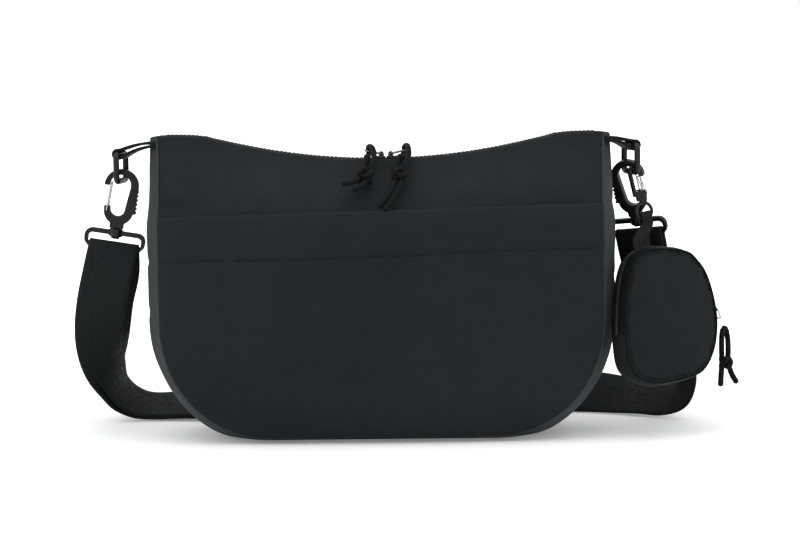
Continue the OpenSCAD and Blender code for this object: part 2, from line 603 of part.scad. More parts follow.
// Pouch slider on the straight right side, with its bail and knotted cord
pouch_slider_z = -2;
module at_pouch_slider() {
    at_pouch() translate([outline[8][0] + band_swell, 0, pouch_slider_z]) rotate([0, 90, 0]) children();
}
module pouch_zip_slider() {
    color(plastic) at_pouch_slider() {
        translate([0, 0, 0.9]) linear_extrude(1.1) intersection() {
            square([10, 6.4], center = true);
            circle(5.2, $fn = 64);
        }
        for (y = [-1, 1]) translate([0, y * 2.7, 0.55]) cube([6, 0.8, 0.9], center = true);
        translate([0, 0, 2]) rotate([90, 0, 0]) linear_extrude(2.4, center = true) difference() {
            union() {
                translate([0, 1.3]) circle(1.7, $fn = 48);
                translate([-1.7, -0.5]) square([3.4, 1.8]);
            }
            translate([0, 1.3]) circle(0.7, $fn = 48);
        }
    }
}
module pouch_zip_bail() {
    color(steel) at_pouch_slider() translate([0, 0, 3.3]) {
        for (y = [-1, 1]) {
            wire_bar([0, y * 3.4, 0], [7, y * 2.4, 2.4], 1.2);
            translate([0, y * 3.4, 0]) sphere(d = 1.2, $fn = 24);
            translate([7, y * 2.4, 2.4]) sphere(d = 1.2, $fn = 24);
        }
        wire_bar([0, -3.4, 0], [0, 3.4, 0], 1.2);
        wire_bar([7, -2.4, 2.4], [7, 2.4, 2.4], 1.2);
    }
}
pouch_pull_route = [[257.14, -14.63, 36.33], [257.64, -13.63, 44.33], [258.44, -12.13, 54.33], [258.14, -12.13, 64.33], [258.34, -11.13, 74.33], [259.64, -8.13, 80.33],
    [262.34, -4.63, 79.13], [263.84, -5.23, 72.33], [263.74, -8.63, 63.33], [263.44, -10.63, 54.33], [266.14, -11.63, 45.33], [270.14, -12.63, 38.33]];
knot_pouch = [261.14, -11.63, 54.33];

// Clasp between the right ring's low bar and the pouch
clasp_lean = -12;
clasp_pitch = -6;
clasp_at = ring_low_right + [8 * sin(ring_turn_right), -8 * cos(ring_turn_right), 0];
clasp_t = 4;
clasp_gate_wire = 0.9;
clasp_low = -22.4;
clasp_pivot = [4.2, clasp_low + 6];
clasp_tip = [2.2, -4];
clasp_post_r = 1.4;
module at_clasp() {
    translate(clasp_at) rotate([0, 0, ring_turn_right]) rotate([0, clasp_lean, 0]) rotate([clasp_pitch, 0, 0])
        children();
}
module clasp_hook() {
    color(plastic) at_clasp() difference() {
        rotate([90, 0, 0]) linear_extrude(clasp_t, center = true) difference() {
            union() {
                circle(5.4, $fn = 64);
                translate([-5.4, clasp_low + 4]) square([10.8, -clasp_low - 4]);
                translate([-3.4, clasp_low]) square([6.8, 5]);
            }
            circle(3, $fn = 64);
            translate([-3, clasp_low + 7.6]) square([6, -clasp_low - 7.6]);
            translate([2, clasp_low + 7.8]) square([5, -clasp_low - 12.4]);
        }
        translate([clasp_pivot[0], 0, clasp_pivot[1]]) rotate([90, 0, 0])
            cylinder(d = clasp_gate_wire + 0.14, h = clasp_t + 2, center = true, $fn = 32);
        translate([0, 0, clasp_low - 1]) cylinder(r = clasp_post_r + 0.08, h = 10, $fn = 40);
    }
}
module clasp_gate() {
    color(steel) at_clasp() gate_loop(clasp_pivot, clasp_tip, clasp_t / 2 + 0.8, clasp_gate_wire);
}
eye_r = 6.2;
eye_wire = 2.6;
eye_v = clasp_low - 0.4 - eye_r - eye_wire / 2;
module clasp_eye() {
    color(plastic) at_clasp() {
        translate([0, 0, eye_v]) rotate([90, 0, 0]) rotate_extrude($fn = 96) translate([eye_r, 0])
            circle(d = eye_wire, $fn = 48);
        translate([0, 0, clasp_low - 1]) cylinder(r = clasp_post_r, h = 9.6, $fn = 40);
        translate([0, 0, clasp_low + 7.9]) cylinder(r = 2.2, h = 1, $fn = 40);
    }
}
// Pouch tab: a narrow webbing loop through the eye, sewn into the pouch's top
function clasp_dir(v) = turned(leaned(pitched(v, clasp_pitch), clasp_lean), ring_turn_right);
tab_bar = clasp_at + (eye_v - eye_r) * clasp_dir([0, 0, 1]);
tab_narrow = 8.2;
tab_thin = 1.2;
tab_up = [[0, -2.6, -3], [0, -2.9, 1], [0, -1.8, 4.3], [0, 0, 5.2], [0, 1.8, 4.3], [0, 2.9, 1], [0, 2.6, -3]];
tab_foot = [193.6, -24.2, 140];
tab_foot_back = [199.5, -17.8, 141.5];
pouch_wide = [cos(pouch_turn), sin(pouch_turn), 0];
tab_points = concat([tab_foot, tab_foot + [-0.6, 2, 9]], [for (p = tab_up) tab_bar + clasp_dir(p)],
    [tab_foot_back + [-1.2, 1.6, 10], tab_foot_back]);
tab_widths = concat(repeat(pouch_wide, 2), repeat(clasp_dir([1, 0, 0]), 7), repeat(pouch_wide, 2));
module pouch_tab() {
    color(webbing) swept(band_rings(tab_points, tab_widths, tab_narrow, tab_thin));
}

front_panel();
pocket_panel();
back_panel();
side_gusset();
zip_tape_front();
zip_tape_back();
zip_coil_front();
zip_coil_back();
zip_end_tab(-1);  // zip_end_tab_left
zip_end_tab(1);  // zip_end_tab_right
zip_slider_left();
zip_slider_right();
zip_bail_left();
zip_bail_right();
cord_pull(pull_route_left);  // cord_pull_left
cord_pull(pull_route_right);  // cord_pull_right
cord_knot(knot_left);  // pull_knot_left
cord_knot(knot_right);  // pull_knot_right
side_tab_left();
side_tab_right();
side_ring_left();
side_ring_right();
snap_hook_left();
snap_hook_right();
hook_gate_left();
hook_gate_right();
swivel_loop_left();
swivel_loop_right();
strap_webbing();
strap_adjuster();
pouch_front();
pouch_back();
pouch_gusset();
pouch_zip_tape_front();
pouch_zip_tape_back();
pouch_zip_coil();
pouch_tab();
pouch_zip_slider();
pouch_zip_bail();
cord_pull(pouch_pull_route);  // pouch_cord_pull
cord_knot(knot_pouch);  // pouch_pull_knot
clasp_hook();
clasp_gate();
clasp_eye();
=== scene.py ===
# Trapeze bag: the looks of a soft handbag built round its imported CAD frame.
# Lengths are in millimetres until a mesh is made, then in metres.
import json
import math

import bmesh
import bpy
import numpy as np
from mathutils import Matrix, Vector, noise

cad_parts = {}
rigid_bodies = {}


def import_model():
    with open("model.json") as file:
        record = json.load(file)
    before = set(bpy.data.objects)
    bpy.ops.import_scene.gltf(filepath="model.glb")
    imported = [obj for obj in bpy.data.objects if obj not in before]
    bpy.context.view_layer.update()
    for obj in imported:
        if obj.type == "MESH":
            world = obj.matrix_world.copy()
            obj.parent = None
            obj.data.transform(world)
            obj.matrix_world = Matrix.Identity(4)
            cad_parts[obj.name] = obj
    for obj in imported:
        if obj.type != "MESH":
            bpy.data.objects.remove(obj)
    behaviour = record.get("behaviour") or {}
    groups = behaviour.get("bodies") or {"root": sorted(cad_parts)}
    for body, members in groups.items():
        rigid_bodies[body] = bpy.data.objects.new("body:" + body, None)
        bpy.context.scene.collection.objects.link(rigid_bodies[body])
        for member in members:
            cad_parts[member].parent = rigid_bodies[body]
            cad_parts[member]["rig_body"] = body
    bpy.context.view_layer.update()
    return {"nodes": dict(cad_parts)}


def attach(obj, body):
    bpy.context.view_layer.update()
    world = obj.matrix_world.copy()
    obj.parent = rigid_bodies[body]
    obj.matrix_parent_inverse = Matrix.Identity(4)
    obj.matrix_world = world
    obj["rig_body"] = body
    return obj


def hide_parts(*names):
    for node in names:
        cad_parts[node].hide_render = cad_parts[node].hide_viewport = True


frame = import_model()
scene = bpy.context.scene
MM = 0.001


# Camera: lens and place worked out from the 800 x 533 photograph
def unit(v):
    v = np.asarray(v, float)
    return v / np.linalg.norm(v)


tilt, roll = math.radians(6.33), math.radians(0.6)
camera_place = (0.014, -1.45, 0.29)
sensor_mm, lens_mm = 36, 85.95
forward = Vector((0, math.cos(tilt), -math.sin(tilt)))
down = Vector((0, -math.sin(tilt), -math.cos(tilt)))
right = Vector((1, 0, 0))
cam_x = right * math.cos(roll) + down * math.sin(roll)
cam_y = right * math.sin(roll) - down * math.cos(roll)
cam_data = bpy.data.cameras.new("camera")
cam_data.sensor_width = sensor_mm
cam_data.lens = lens_mm
camera = bpy.data.objects.new("camera", cam_data)
scene.collection.objects.link(camera)
camera.matrix_world = (Matrix.Translation(camera_place)
                       @ Matrix((cam_x, cam_y, -forward)).transposed().to_4x4())
scene.camera = camera


# Curves and meshes
def spline(points, step, extra=None):
    """Smooth curve through points, resampled every step, with extra columns carried along."""
    p = np.asarray(points, float)
    data = p if extra is None else np.hstack([p, np.asarray(extra, float)])
    t = np.concatenate([[0], np.cumsum(np.sqrt(np.linalg.norm(np.diff(p, axis=0), axis=1)))])
    m = np.zeros_like(data)
    m[0] = (data[1] - data[0]) / (t[1] - t[0])
    m[-1] = (data[-1] - data[-2]) / (t[-1] - t[-2])
    for i in range(1, len(p) - 1):
        m[i] = ((data[i] - data[i - 1]) / (t[i] - t[i - 1])
                - (data[i + 1] - data[i - 1]) / (t[i + 1] - t[i - 1])
                + (data[i + 1] - data[i]) / (t[i + 1] - t[i]))
    dense = []
    for i in range(len(p) - 1):
        h = t[i + 1] - t[i]
        for s in np.linspace(0, 1, 24, endpoint=i == len(p) - 2):
            dense.append((2 * s**3 - 3 * s**2 + 1) * data[i] + (s**3 - 2 * s**2 + s) * h * m[i]
                         + (3 * s**2 - 2 * s**3) * data[i + 1] + (s**3 - s**2) * h * m[i + 1])
    dense = np.array(dense)
    length = np.concatenate([[0], np.cumsum(np.linalg.norm(np.diff(dense[:, :3], axis=0), axis=1))])
    at = np.linspace(0, length[-1], max(2, int(round(length[-1] / step)) + 1))
    out = np.stack([np.interp(at, length, dense[:, k]) for k in range(dense.shape[1])], axis=1)
    return out if extra is None else (out[:, :3], out[:, 3:])


def tangents(p):
    """Unit directions along a row of points."""
    t = np.gradient(p, axis=0)
    return t / np.linalg.norm(t, axis=1)[:, None]


def lengths(p):
    """How far along the row each of its points lies."""
    return np.concatenate([[0], np.cumsum(np.linalg.norm(np.diff(p, axis=0), axis=1))])


def make(name, points, faces, body="bag", material=None, nodes=(), slot=None, uv=None,
         level=0, fix=True):
    """A named mesh on a body, smooth, with its material, replaced nodes and subdivision."""
    mesh = bpy.data.meshes.new(name)
    mesh.from_pydata((np.asarray(points, float) * MM).tolist(), [], faces)
    if uv is not None:
        layer = mesh.uv_layers.new(name="uv")
        layer.data.foreach_set("uv", np.asarray(uv, float).ravel())
    if fix:
        bm = bmesh.new()
        bm.from_mesh(mesh)
        bmesh.ops.recalc_face_normals(bm, faces=bm.faces)
        bm.to_mesh(mesh)
        bm.free()
    mesh.polygons.foreach_set("use_smooth", [True] * len(mesh.polygons))
    o = bpy.data.objects.new(name, mesh)
    scene.collection.objects.link(o)
    if material:
        mesh.materials.append(material)
    if level:
        sub = o.modifiers.new("round", "SUBSURF")
        sub.levels = sub.render_levels = level
    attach(o, body)
    if nodes:
        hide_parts(*nodes)
    return o


def grid_faces(rows, cols, start=0, wrap=False):
    """Quads over a grid of points; wrap joins its last column to the first."""
    def at(i, j):
        return start + i * cols + j % cols
    return [(at(i, j), at(i, j + 1), at(i + 1, j + 1), at(i + 1, j))
            for i in range(rows - 1) for j in range(cols if wrap else cols - 1)]


def shell(name, outer, inner, lip=0.5, **more):
    """Cloth between two grids of points, its edge closed by a rounded rim."""
    rows, cols = outer.shape[:2]
    edge = ([(0, j) for j in range(cols)] + [(i, cols - 1) for i in range(1, rows)]
            + [(rows - 1, j) for j in range(cols - 2, -1, -1)]
            + [(i, 0) for i in range(rows - 2, 0, -1)])
    points = np.concatenate([outer.reshape(-1, 3), inner.reshape(-1, 3)])
    n, m = rows * cols, len(edge)
    rim = []
    for i, j in edge:
        di = 1 if i == 0 else -1 if i == rows - 1 else 0
        dj = 1 if j == 0 else -1 if j == cols - 1 else 0
        out = outer[i, j] - outer[i + di, j + dj]
        thick = np.linalg.norm(outer[i, j] - inner[i, j])
        rim.append((outer[i, j] + inner[i, j]) / 2 + lip * thick * out / max(np.linalg.norm(out), 1e-6))
    faces = grid_faces(rows, cols) + [f[::-1] for f in grid_faces(rows, cols, n)]
    for k in range(m):
        a, b = (i * cols + j for i, j in (edge[k], edge[(k + 1) % m]))
        r, s = 2 * n + k, 2 * n + (k + 1) % m
        faces += [(a, r, s, b), (n + a, n + b, s, r)]
    return make(name, np.concatenate([points, np.array(rim)]), faces, **more)


def loft(name, rings, along, across=None, **more):
    """Closed rings joined into a solid, with uv in metres along and 0 to 1 (or given) across."""
    rings = np.asarray(rings, float)
    n, k = rings.shape[:2]
    across = np.linspace(0, 1, k + 1) if across is None else across
    faces, uv = [], []
    for i in range(n - 1):
        for j in range(k):
            faces.append((i * k + j, i * k + (j + 1) % k, (i + 1) * k + (j + 1) % k, (i + 1) * k + j))
            uv += [(across[j], along[i] * MM), (across[j + 1], along[i] * MM),
                   (across[j + 1], along[i + 1] * MM), (across[j], along[i + 1] * MM)]
    points = [*rings.reshape(-1, 3), rings[0].mean(0), rings[-1].mean(0)]
    for j in range(k):
        faces.append((n * k, (j + 1) % k, j))
        uv += [(across[j], along[0] * MM)] * 3
        faces.append((n * k + 1, (n - 1) * k + j, (n - 1) * k + (j + 1) % k))
        uv += [(across[j], along[-1] * MM)] * 3
    return make(name, points, faces, uv=uv, fix=False, **more)


def tube_rings(p, d, sides=14, taper=0.0):
    """Circles of points across a route, narrowing to round ends over the taper's length."""
    t = tangents(p)
    n = unit(np.cross(t[0], (0.3, 0.2, 0.9)))
    rings = []
    s = lengths(p)
    for i in range(len(p)):
        n = unit(n - t[i] * (n @ t[i]))
        b = np.cross(t[i], n)
        r = d / 2
        if taper:
            e = min(s[i], s[-1] - s[i]) / taper
            if e < 1:
                r *= math.sqrt(max(0.12, 1 - (1 - e) ** 2))
        a = 2 * np.pi * np.arange(sides) / sides
        rings.append(p[i] + r * (np.cos(a)[:, None] * n + np.sin(a)[:, None] * b))
    return rings


def tube(name, p, d, sides=14, taper=0.0, **more):
    p = np.asarray(p, float)
    return loft(name, tube_rings(p, d, sides, taper), lengths(p), **more)


def band(name, points, widths, width, thick, step=1.3, edge=0.12, **more):
    """Woven band: its width runs along the given directions, with slightly fuller selvedges."""
    p, w = spline(points, step, widths)
    t = tangents(p)
    face = np.linspace(0.485, -0.485, 13)
    xs = np.concatenate([[0.5], face, [-0.5], np.linspace(-0.485, 0.485, 13)])
    hs = np.concatenate([[0], np.full(13, 0.5), [0], np.full(13, -0.5)])
    fuller = 1 + edge * (np.abs(xs) > 0.42) * (np.abs(hs) > 0.1)
    rings = []
    for i in range(len(p)):
        a = unit(w[i] - (w[i] @ t[i]) * t[i])
        b = np.cross(t[i], a)
        rings.append(p[i] + np.outer(xs * width, a) + np.outer(hs * thick * fuller, b))
    across = np.concatenate([xs, [xs[0]]]) * width * MM
    return loft(name, rings, lengths(p), across, **more)


def stitches(name, p, normals, pitch, length, d, material, body="bag"):
    """A row of short threads lying on a surface, each end dipping into it."""
    stations = ((-0.5, -0.35), (-0.32, 0.28), (0, 0.4), (0.32, 0.28), (0.5, -0.35))
    sides = 6
    s = lengths(p)
    points, faces = [], []
    count = int(s[-1] / pitch)

    def along(table, at):
        return np.array([np.interp(at, s, table[:, m]) for m in range(3)])

    for k in range(count):
        a = (k + 0.5) * s[-1] / count
        n = unit(along(normals, a))
        side = unit(np.cross(along(p, a + 0.1) - along(p, a - 0.1), n))
        for off, sink in stations:
            c = along(p, a + off * length)
            for g in range(sides):
                turn = g * math.pi / 3
                points.append(c + n * (sink * d + d / 2 * math.sin(turn))
                              + side * d / 2 * math.cos(turn))
        first = k * sides * len(stations)
        last = first + sides * (len(stations) - 1)
        faces += grid_faces(len(stations), sides, first, True)
        faces += [tuple(first + g for g in reversed(range(sides))),
                  tuple(last + g for g in range(sides))]
    return make(name, points, faces, body=body, material=material)


# Materials
def shader(name):
    m = bpy.data.materials.new(name)
    m.use_nodes = True
    return m, m.node_tree, m.node_tree.nodes["Principled BSDF"]


def feed(tree, value, socket):
    """Put a number on a socket, or link another socket to it."""
    if isinstance(value, (int, float)):
        socket.default_value = value
    else:
        tree.links.new(value, socket)


def mixed(tree, kind, a, b, factor):
    """Colour mix of a and b (colours or sockets) by a factor socket."""
    mix = tree.nodes.new("ShaderNodeMix")
    mix.data_type = "RGBA"
    mix.blend_type = kind
    for slot_name, value in ((6, a), (7, b)):
        if isinstance(value, tuple):
            mix.inputs[slot_name].default_value = (*value, 1)
        else:
            tree.links.new(value, mix.inputs[slot_name])
    feed(tree, factor, mix.inputs[0])
    return mix.outputs[2]


def map_range(tree, value, low, high, to_low=0.0, to_high=1.0):
    r = tree.nodes.new("ShaderNodeMapRange")
    for key, number in zip(("From Min", "From Max", "To Min", "To Max"), (low, high, to_low, to_high)):
        r.inputs[key].default_value = number
    tree.links.new(value, r.inputs["Value"])
    return r


def noise_map(tree, vector, scale, detail, low, high, to_low=0.0, to_high=1.0):
    """Noise at a scale per metre, stretched from low..high to another range."""
    n = tree.nodes.new("ShaderNodeTexNoise")
    n.inputs["Scale"].default_value = scale
    n.inputs["Detail"].default_value = detail
    n.inputs["Roughness"].default_value = 0.55
    tree.links.new(vector, n.inputs["Vector"])
    return map_range(tree, n.outputs["Fac"], low, high, to_low, to_high).outputs["Result"]


WAVE_SCALE = 0.31416  # a band wave of scale 1 repeats every 0.314 units


def waves(tree, vector, direction, period):
    """Even stripes, one each period (in the vector's units)."""
    w = tree.nodes.new("ShaderNodeTexWave")
    w.wave_type = "BANDS"
    w.bands_direction = direction
    w.inputs["Scale"].default_value = WAVE_SCALE / period
    tree.links.new(vector, w.inputs["Vector"])
    return w.outputs["Fac"]


def maths(tree, op, a, b):
    m = tree.nodes.new("ShaderNodeMath")
    m.operation = op
    for i, value in enumerate((a, b)):
        feed(tree, value, m.inputs[i])
    return m.outputs[0]


def bumped(tree, height, strength, distance, below=None):
    b = tree.nodes.new("ShaderNodeBump")
    b.inputs["Strength"].default_value = strength
    b.inputs["Distance"].default_value = distance
    tree.links.new(height, b.inputs["Height"])
    if below:
        tree.links.new(below, b.inputs["Normal"])
    return b.outputs["Normal"]


def soft_gloss(bsdf, specular, sheen, sheen_rough):
    for key, value in (("Specular IOR Level", specular), ("Sheen Weight", sheen),
                       ("Sheen Roughness", sheen_rough)):
        bsdf.inputs[key].default_value = value


def cloth(name, dark, light, rough=(0.62, 0.74), weave=0.00045, weave_bump=0.25, sheen=0.03,
          specular=0.16):
    """Plain-woven cloth: broad and fine unevenness, a weave, slubs and soft creases."""
    m, tree, bsdf = shader(name)
    place = tree.nodes.new("ShaderNodeTexCoord").outputs["Object"]
    broad = noise_map(tree, place, 9, 3, 0.32, 0.68)
    fine = noise_map(tree, place, 520, 3, 0.3, 0.7)
    colour = mixed(tree, "MIX", dark, light, broad)
    grain = mixed(tree, "MULTIPLY", colour, (0.86, 0.86, 0.87), fine)
    tree.links.new(grain, bsdf.inputs["Base Color"])
    tree.links.new(noise_map(tree, place, 60, 2, 0.3, 0.7, *rough), bsdf.inputs["Roughness"])
    warp = waves(tree, place, "X", weave)
    weft = waves(tree, place, "Z", weave)
    depth = waves(tree, place, "Y", weave)
    over = maths(tree, "MULTIPLY", maths(tree, "MAXIMUM", warp, depth), weft)
    normal = bumped(tree, over, weave_bump, 0.00008)
    normal = bumped(tree, noise_map(tree, place, 210, 4, 0.2, 0.8), 0.22, 0.00035, normal)
    normal = bumped(tree, noise_map(tree, place, 28, 3, 0.2, 0.8), 0.3, 0.0012, normal)
    tree.links.new(normal, bsdf.inputs["Normal"])
    soft_gloss(bsdf, specular, sheen, 0.45)
    return m


def webbing(name, dark, light, rib=0.0011):
    """Ribbed webbing, woven along its uv, its grooves darkened with painted shade."""
    m, tree, bsdf = shader(name)
    coords = tree.nodes.new("ShaderNodeTexCoord")
    uv, place = coords.outputs["UV"], coords.outputs["Object"]
    ribs = waves(tree, uv, "X", rib * 2)
    picks = waves(tree, uv, "Y", rib)
    diagonal = waves(tree, uv, "DIAGONAL", rib * 1.4)
    woven = maths(tree, "ADD", maths(tree, "MULTIPLY", ribs, picks),
                  maths(tree, "MULTIPLY", diagonal, 0.4))
    fuzz = noise_map(tree, place, 900, 2, 0.3, 0.7)
    broad = noise_map(tree, place, 25, 2, 0.3, 0.7)
    # Lighter on the ribs and darker in the weave's grooves: painted shade, with random fuzz in the yarn's
    # tone.
    colour = mixed(tree, "MIX", dark, light, maths(tree, "MULTIPLY", woven, fuzz))
    colour = mixed(tree, "MULTIPLY", colour, (0.85, 0.85, 0.86), broad)
    tree.links.new(colour, bsdf.inputs["Base Color"])
    tree.links.new(noise_map(tree, place, 300, 2, 0.3, 0.7, 0.55, 0.8), bsdf.inputs["Roughness"])
    normal = bumped(tree, woven, 0.5, 0.00022)
    normal = bumped(tree, fuzz, 0.25, 0.0001, normal)
    tree.links.new(normal, bsdf.inputs["Normal"])
    soft_gloss(bsdf, 0.16, 0.04, 0.4)
    return m


def plastic(name, colour, rough=(0.3, 0.42), grain=0.12, specular=0.5):
    m, tree, bsdf = shader(name)
    place = tree.nodes.new("ShaderNodeTexCoord").outputs["Object"]
    worn = noise_map(tree, place, 70, 4, 0.35, 0.75)
    lighter = tuple(min(1.0, c * 1.6 + 0.004) for c in colour)
    tree.links.new(mixed(tree, "MIX", colour, lighter, worn), bsdf.inputs["Base Color"])
    tree.links.new(noise_map(tree, place, 240, 3, 0.3, 0.7, *rough), bsdf.inputs["Roughness"])
    normal = bumped(tree, noise_map(tree, place, 1300, 2, 0.3, 0.7), grain, 0.00006)
    tree.links.new(normal, bsdf.inputs["Normal"])
    bsdf.inputs["Specular IOR Level"].default_value = specular
    return m


def metal(name, colour, rough=(0.18, 0.34)):
    m, tree, bsdf = shader(name)
    place = tree.nodes.new("ShaderNodeTexCoord").outputs["Object"]
    scuff = noise_map(tree, place, 500, 4, 0.35, 0.7)
    darker = tuple(c * 0.72 for c in colour)
    tree.links.new(mixed(tree, "MIX", colour, darker, scuff), bsdf.inputs["Base Color"])
    tree.links.new(noise_map(tree, place, 800, 3, 0.3, 0.7, *rough), bsdf.inputs["Roughness"])
    tree.links.new(bumped(tree, scuff, 0.08, 0.00005), bsdf.inputs["Normal"])
    bsdf.inputs["Metallic"].default_value = 1.0
    return m


def braid(name, dark, light, turns_round=4, pitch=0.0042):
    """Braided cord: two sets of crossing strands round and along its uv, with painted shade between them.
    """
    m, tree, bsdf = shader(name)
    coords = tree.nodes.new("ShaderNodeTexCoord")
    split = tree.nodes.new("ShaderNodeSeparateXYZ")
    tree.links.new(coords.outputs["UV"], split.inputs[0])
    around = maths(tree, "MULTIPLY", split.outputs[0], 2 * math.pi * turns_round)
    along = maths(tree, "MULTIPLY", split.outputs[1], 2 * math.pi / pitch)
    left = maths(tree, "SINE", maths(tree, "ADD", around, along), 0.0)
    right_hand = maths(tree, "SINE", maths(tree, "SUBTRACT", around, along), 0.0)
    plait = maths(tree, "MAXIMUM", left, right_hand)
    place = coords.outputs["Object"]
    strand = noise_map(tree, place, 1500, 2, 0.3, 0.7)
    # Light on the strands and dark in the grooves between them: painted shade, with random tone along each
    # strand.
    groove_shade_and_tone = maths(tree, "MULTIPLY", plait, strand)
    tree.links.new(mixed(tree, "MIX", dark, light, groove_shade_and_tone), bsdf.inputs["Base Color"])
    tree.links.new(noise_map(tree, place, 700, 2, 0.3, 0.7, 0.6, 0.8), bsdf.inputs["Roughness"])
    normal = bumped(tree, plait, 0.7, 0.0003)
    tree.links.new(bumped(tree, strand, 0.3, 0.0001, normal), bsdf.inputs["Normal"])
    soft_gloss(bsdf, 0.1, 0.02, 0.5)
    return m


front_cloth = cloth("front_cloth", (0.0112, 0.0125, 0.0144), (0.0146, 0.0158, 0.0183),
                    specular=0.1, sheen=0.02)
# The gusset's colour is lighter than the front's: partly a greyer cloth, partly painted light for the
# brighter side light and grazing sheen on the bag's sides.
gusset_cloth = cloth("gusset_cloth", (0.029, 0.03, 0.034), (0.037, 0.038, 0.042), weave_bump=0.35)
strap_web = webbing("strap_web", (0.0062, 0.0066, 0.0072), (0.0145, 0.0152, 0.0165))
tab_web = webbing("tab_web", (0.004, 0.004, 0.0044), (0.009, 0.009, 0.0095), rib=0.0009)
pouch_cloth = cloth("pouch_cloth", (0.0085, 0.0095, 0.0108), (0.011, 0.012, 0.0136),
                    weave_bump=0.35, specular=0.1)
pouch_side = cloth("pouch_side", (0.0052, 0.0055, 0.006), (0.0072, 0.0075, 0.0082), weave_bump=0.35)
tape_cloth = cloth("tape_cloth", (0.008, 0.008, 0.009), (0.012, 0.012, 0.0135),
                   weave=0.0007, weave_bump=0.6)
pouch_tape = cloth("pouch_tape", (0.003, 0.003, 0.0034), (0.0046, 0.0046, 0.005),
                   weave=0.0007, weave_bump=0.6, specular=0.08)
pouch_coil = plastic("pouch_coil", (0.05, 0.05, 0.052), (0.3, 0.45))
coil_plastic = plastic("coil_plastic", (0.02, 0.02, 0.021), (0.3, 0.45))
black_plastic = plastic("black_plastic", (0.0035, 0.0035, 0.0038), (0.24, 0.4), specular=0.3)
black_metal = plastic("black_metal", (0.008, 0.008, 0.009), (0.22, 0.34), 0.05)
bare_wire = metal("bare_wire", (0.62, 0.62, 0.63))
dark_wire = metal("dark_wire", (0.2, 0.2, 0.21))
pull_cord = braid("pull_cord", (0.0025, 0.0025, 0.0028), (0.0085, 0.0085, 0.009))
thread = plastic("thread", (0.0018, 0.0018, 0.002), (0.6, 0.75), 0.3, 0.05)


# Zip pulls: each is one doubled cord, knotted, with two free tails. The left and right ones loop
# through their bails; the pouch's hangs just clear of its own.
cord_d = 4.2
pull_left = [(-28, -47.5, 196), (-22.5, -43.6, 196.5), (-17.5, -38.8, 198), (-13.2, -32.9, 200.8),
             (-12, -27.2, 206), (-10.8, -20.2, 211.4), (-10.4, -13.5, 213.9), (-9.5, -7, 213.9),
             (-8.9, -1.5, 214.8), (-8.8, 0.9, 217.8), (-9, -0.2, 220.4), (-7, -5, 221), (-5.5, -11, 219.4),
             (-4.6, -16.9, 216), (-5, -23, 211.2), (-7, -28.6, 205.7), (-8.8, -34.3, 200),
             (-11.5, -40.2, 196.2), (-15.5, -45, 193), (-20, -48, 191)]
pull_right = [(-1, -51.5, 178.5), (4.3, -48, 185), (9.3, -41.3, 193), (12, -33, 200.5), (11, -27, 206.5),
              (12.6, -20.4, 211.4), (14.8, -13.5, 213.9), (16.4, -7, 214), (17.5, -1.5, 214.9),
              (17.5, 0.9, 217.8), (18.6, 0.4, 220.8), (20.3, -4.5, 221.6), (21.2, -10.5, 220),
              (21.5, -16.8, 216.4), (20.3, -22.8, 211.7), (18, -28.3, 206.2), (16.6, -33.8, 200.5),
              (13.9, -42.2, 191.8), (8.7, -49, 184), (3.4, -54.5, 177)]
pull_pouch = [(257.14, -14.63, 36.33), (257.64, -13.63, 44.33), (258.44, -12.13, 54.33),
              (258.14, -12.13, 64.33), (258.34, -11.13, 74.33), (259.64, -8.13, 80.33),
              (262.34, -4.63, 79.13), (263.84, -5.23, 72.33), (263.74, -8.63, 63.33),
              (263.44, -10.63, 54.33), (266.14, -11.63, 45.33), (270.14, -12.63, 38.33)]


def knot(name, centre, axis, body, node, size=1.0):
    """Overhand knot: one closed three-lobed turn of cord about the strands."""
    a = unit(axis)
    n = unit(np.cross(a, (0.2, 1, 0.1)))
    b = np.cross(a, n)
    f = np.linspace(0, 2 * np.pi, 121)
    r = (2.9 + 1.35 * np.cos(3 * f)) * size
    p = (np.asarray(centre, float) + np.outer(r * np.cos(2 * f), n) + np.outer(r * np.sin(2 * f), b)
         + np.outer(3.0 * size * np.sin(3 * f), a))
    return tube(name, p, 3.7 * size, 12, body=body, material=pull_cord, nodes=(node,), slot="pull_cord")


def free_cord(prefix, points, apex, body, node):
    """Two strands that part at the loop's top; each runs through the knot to its own tail."""
    for tag, part in (("a", points[apex::-1]), ("b", points[apex:])):
        p = spline(part, 0.7)
        o = tube(f"{prefix}_{tag}", p, cord_d, 14, 1.6, body=body, material=pull_cord, nodes=(node,),
                 slot="pull_cord")


left_knot = knot("pull_left_knot", (-11, -33.4, 200.5), (0.15, -0.75, -0.65), "zip_pull_left",
                 "pull_knot_left", 1.2)
free_cord("pull_left_strand", pull_left, 9, "zip_pull_left", "cord_pull_left")
right_knot = knot("pull_right_knot", (14.3, -33.6, 200.8), (-0.1, -0.75, -0.65), "zip_pull_right",
                  "pull_knot_right", 1.1)
free_cord("pull_right_strand", pull_right, 9, "zip_pull_right", "cord_pull_right")
pouch_knot = knot("pull_pouch_knot", (261.14, -11.63, 54.33), (0.05, 0.05, -1), "pouch_pull",
                  "pouch_pull_knot", 0.98)
free_cord("pull_pouch_strand", pull_pouch, 5, "pouch_pull", "pouch_cord_pull")

# Bag outline, from the same values as the CAD source
bag_w, bag_h, top_dip, seam_gap, belly, cloth_t = 330, 230, 19, 88, 10, 1.8
hem_z, corner_rx, corner_z, flare, mouth_h, mouth_gap = 5, 80, 92, 3, 173, 7.5
zip_chord = 136  # half the width over which the top dips
zip_r = (zip_chord**2 + top_dip**2) / (2 * top_dip)
zip_cz = bag_h - top_dip + zip_r
side_swell = 13
floor_half = bag_w / 2 - corner_rx


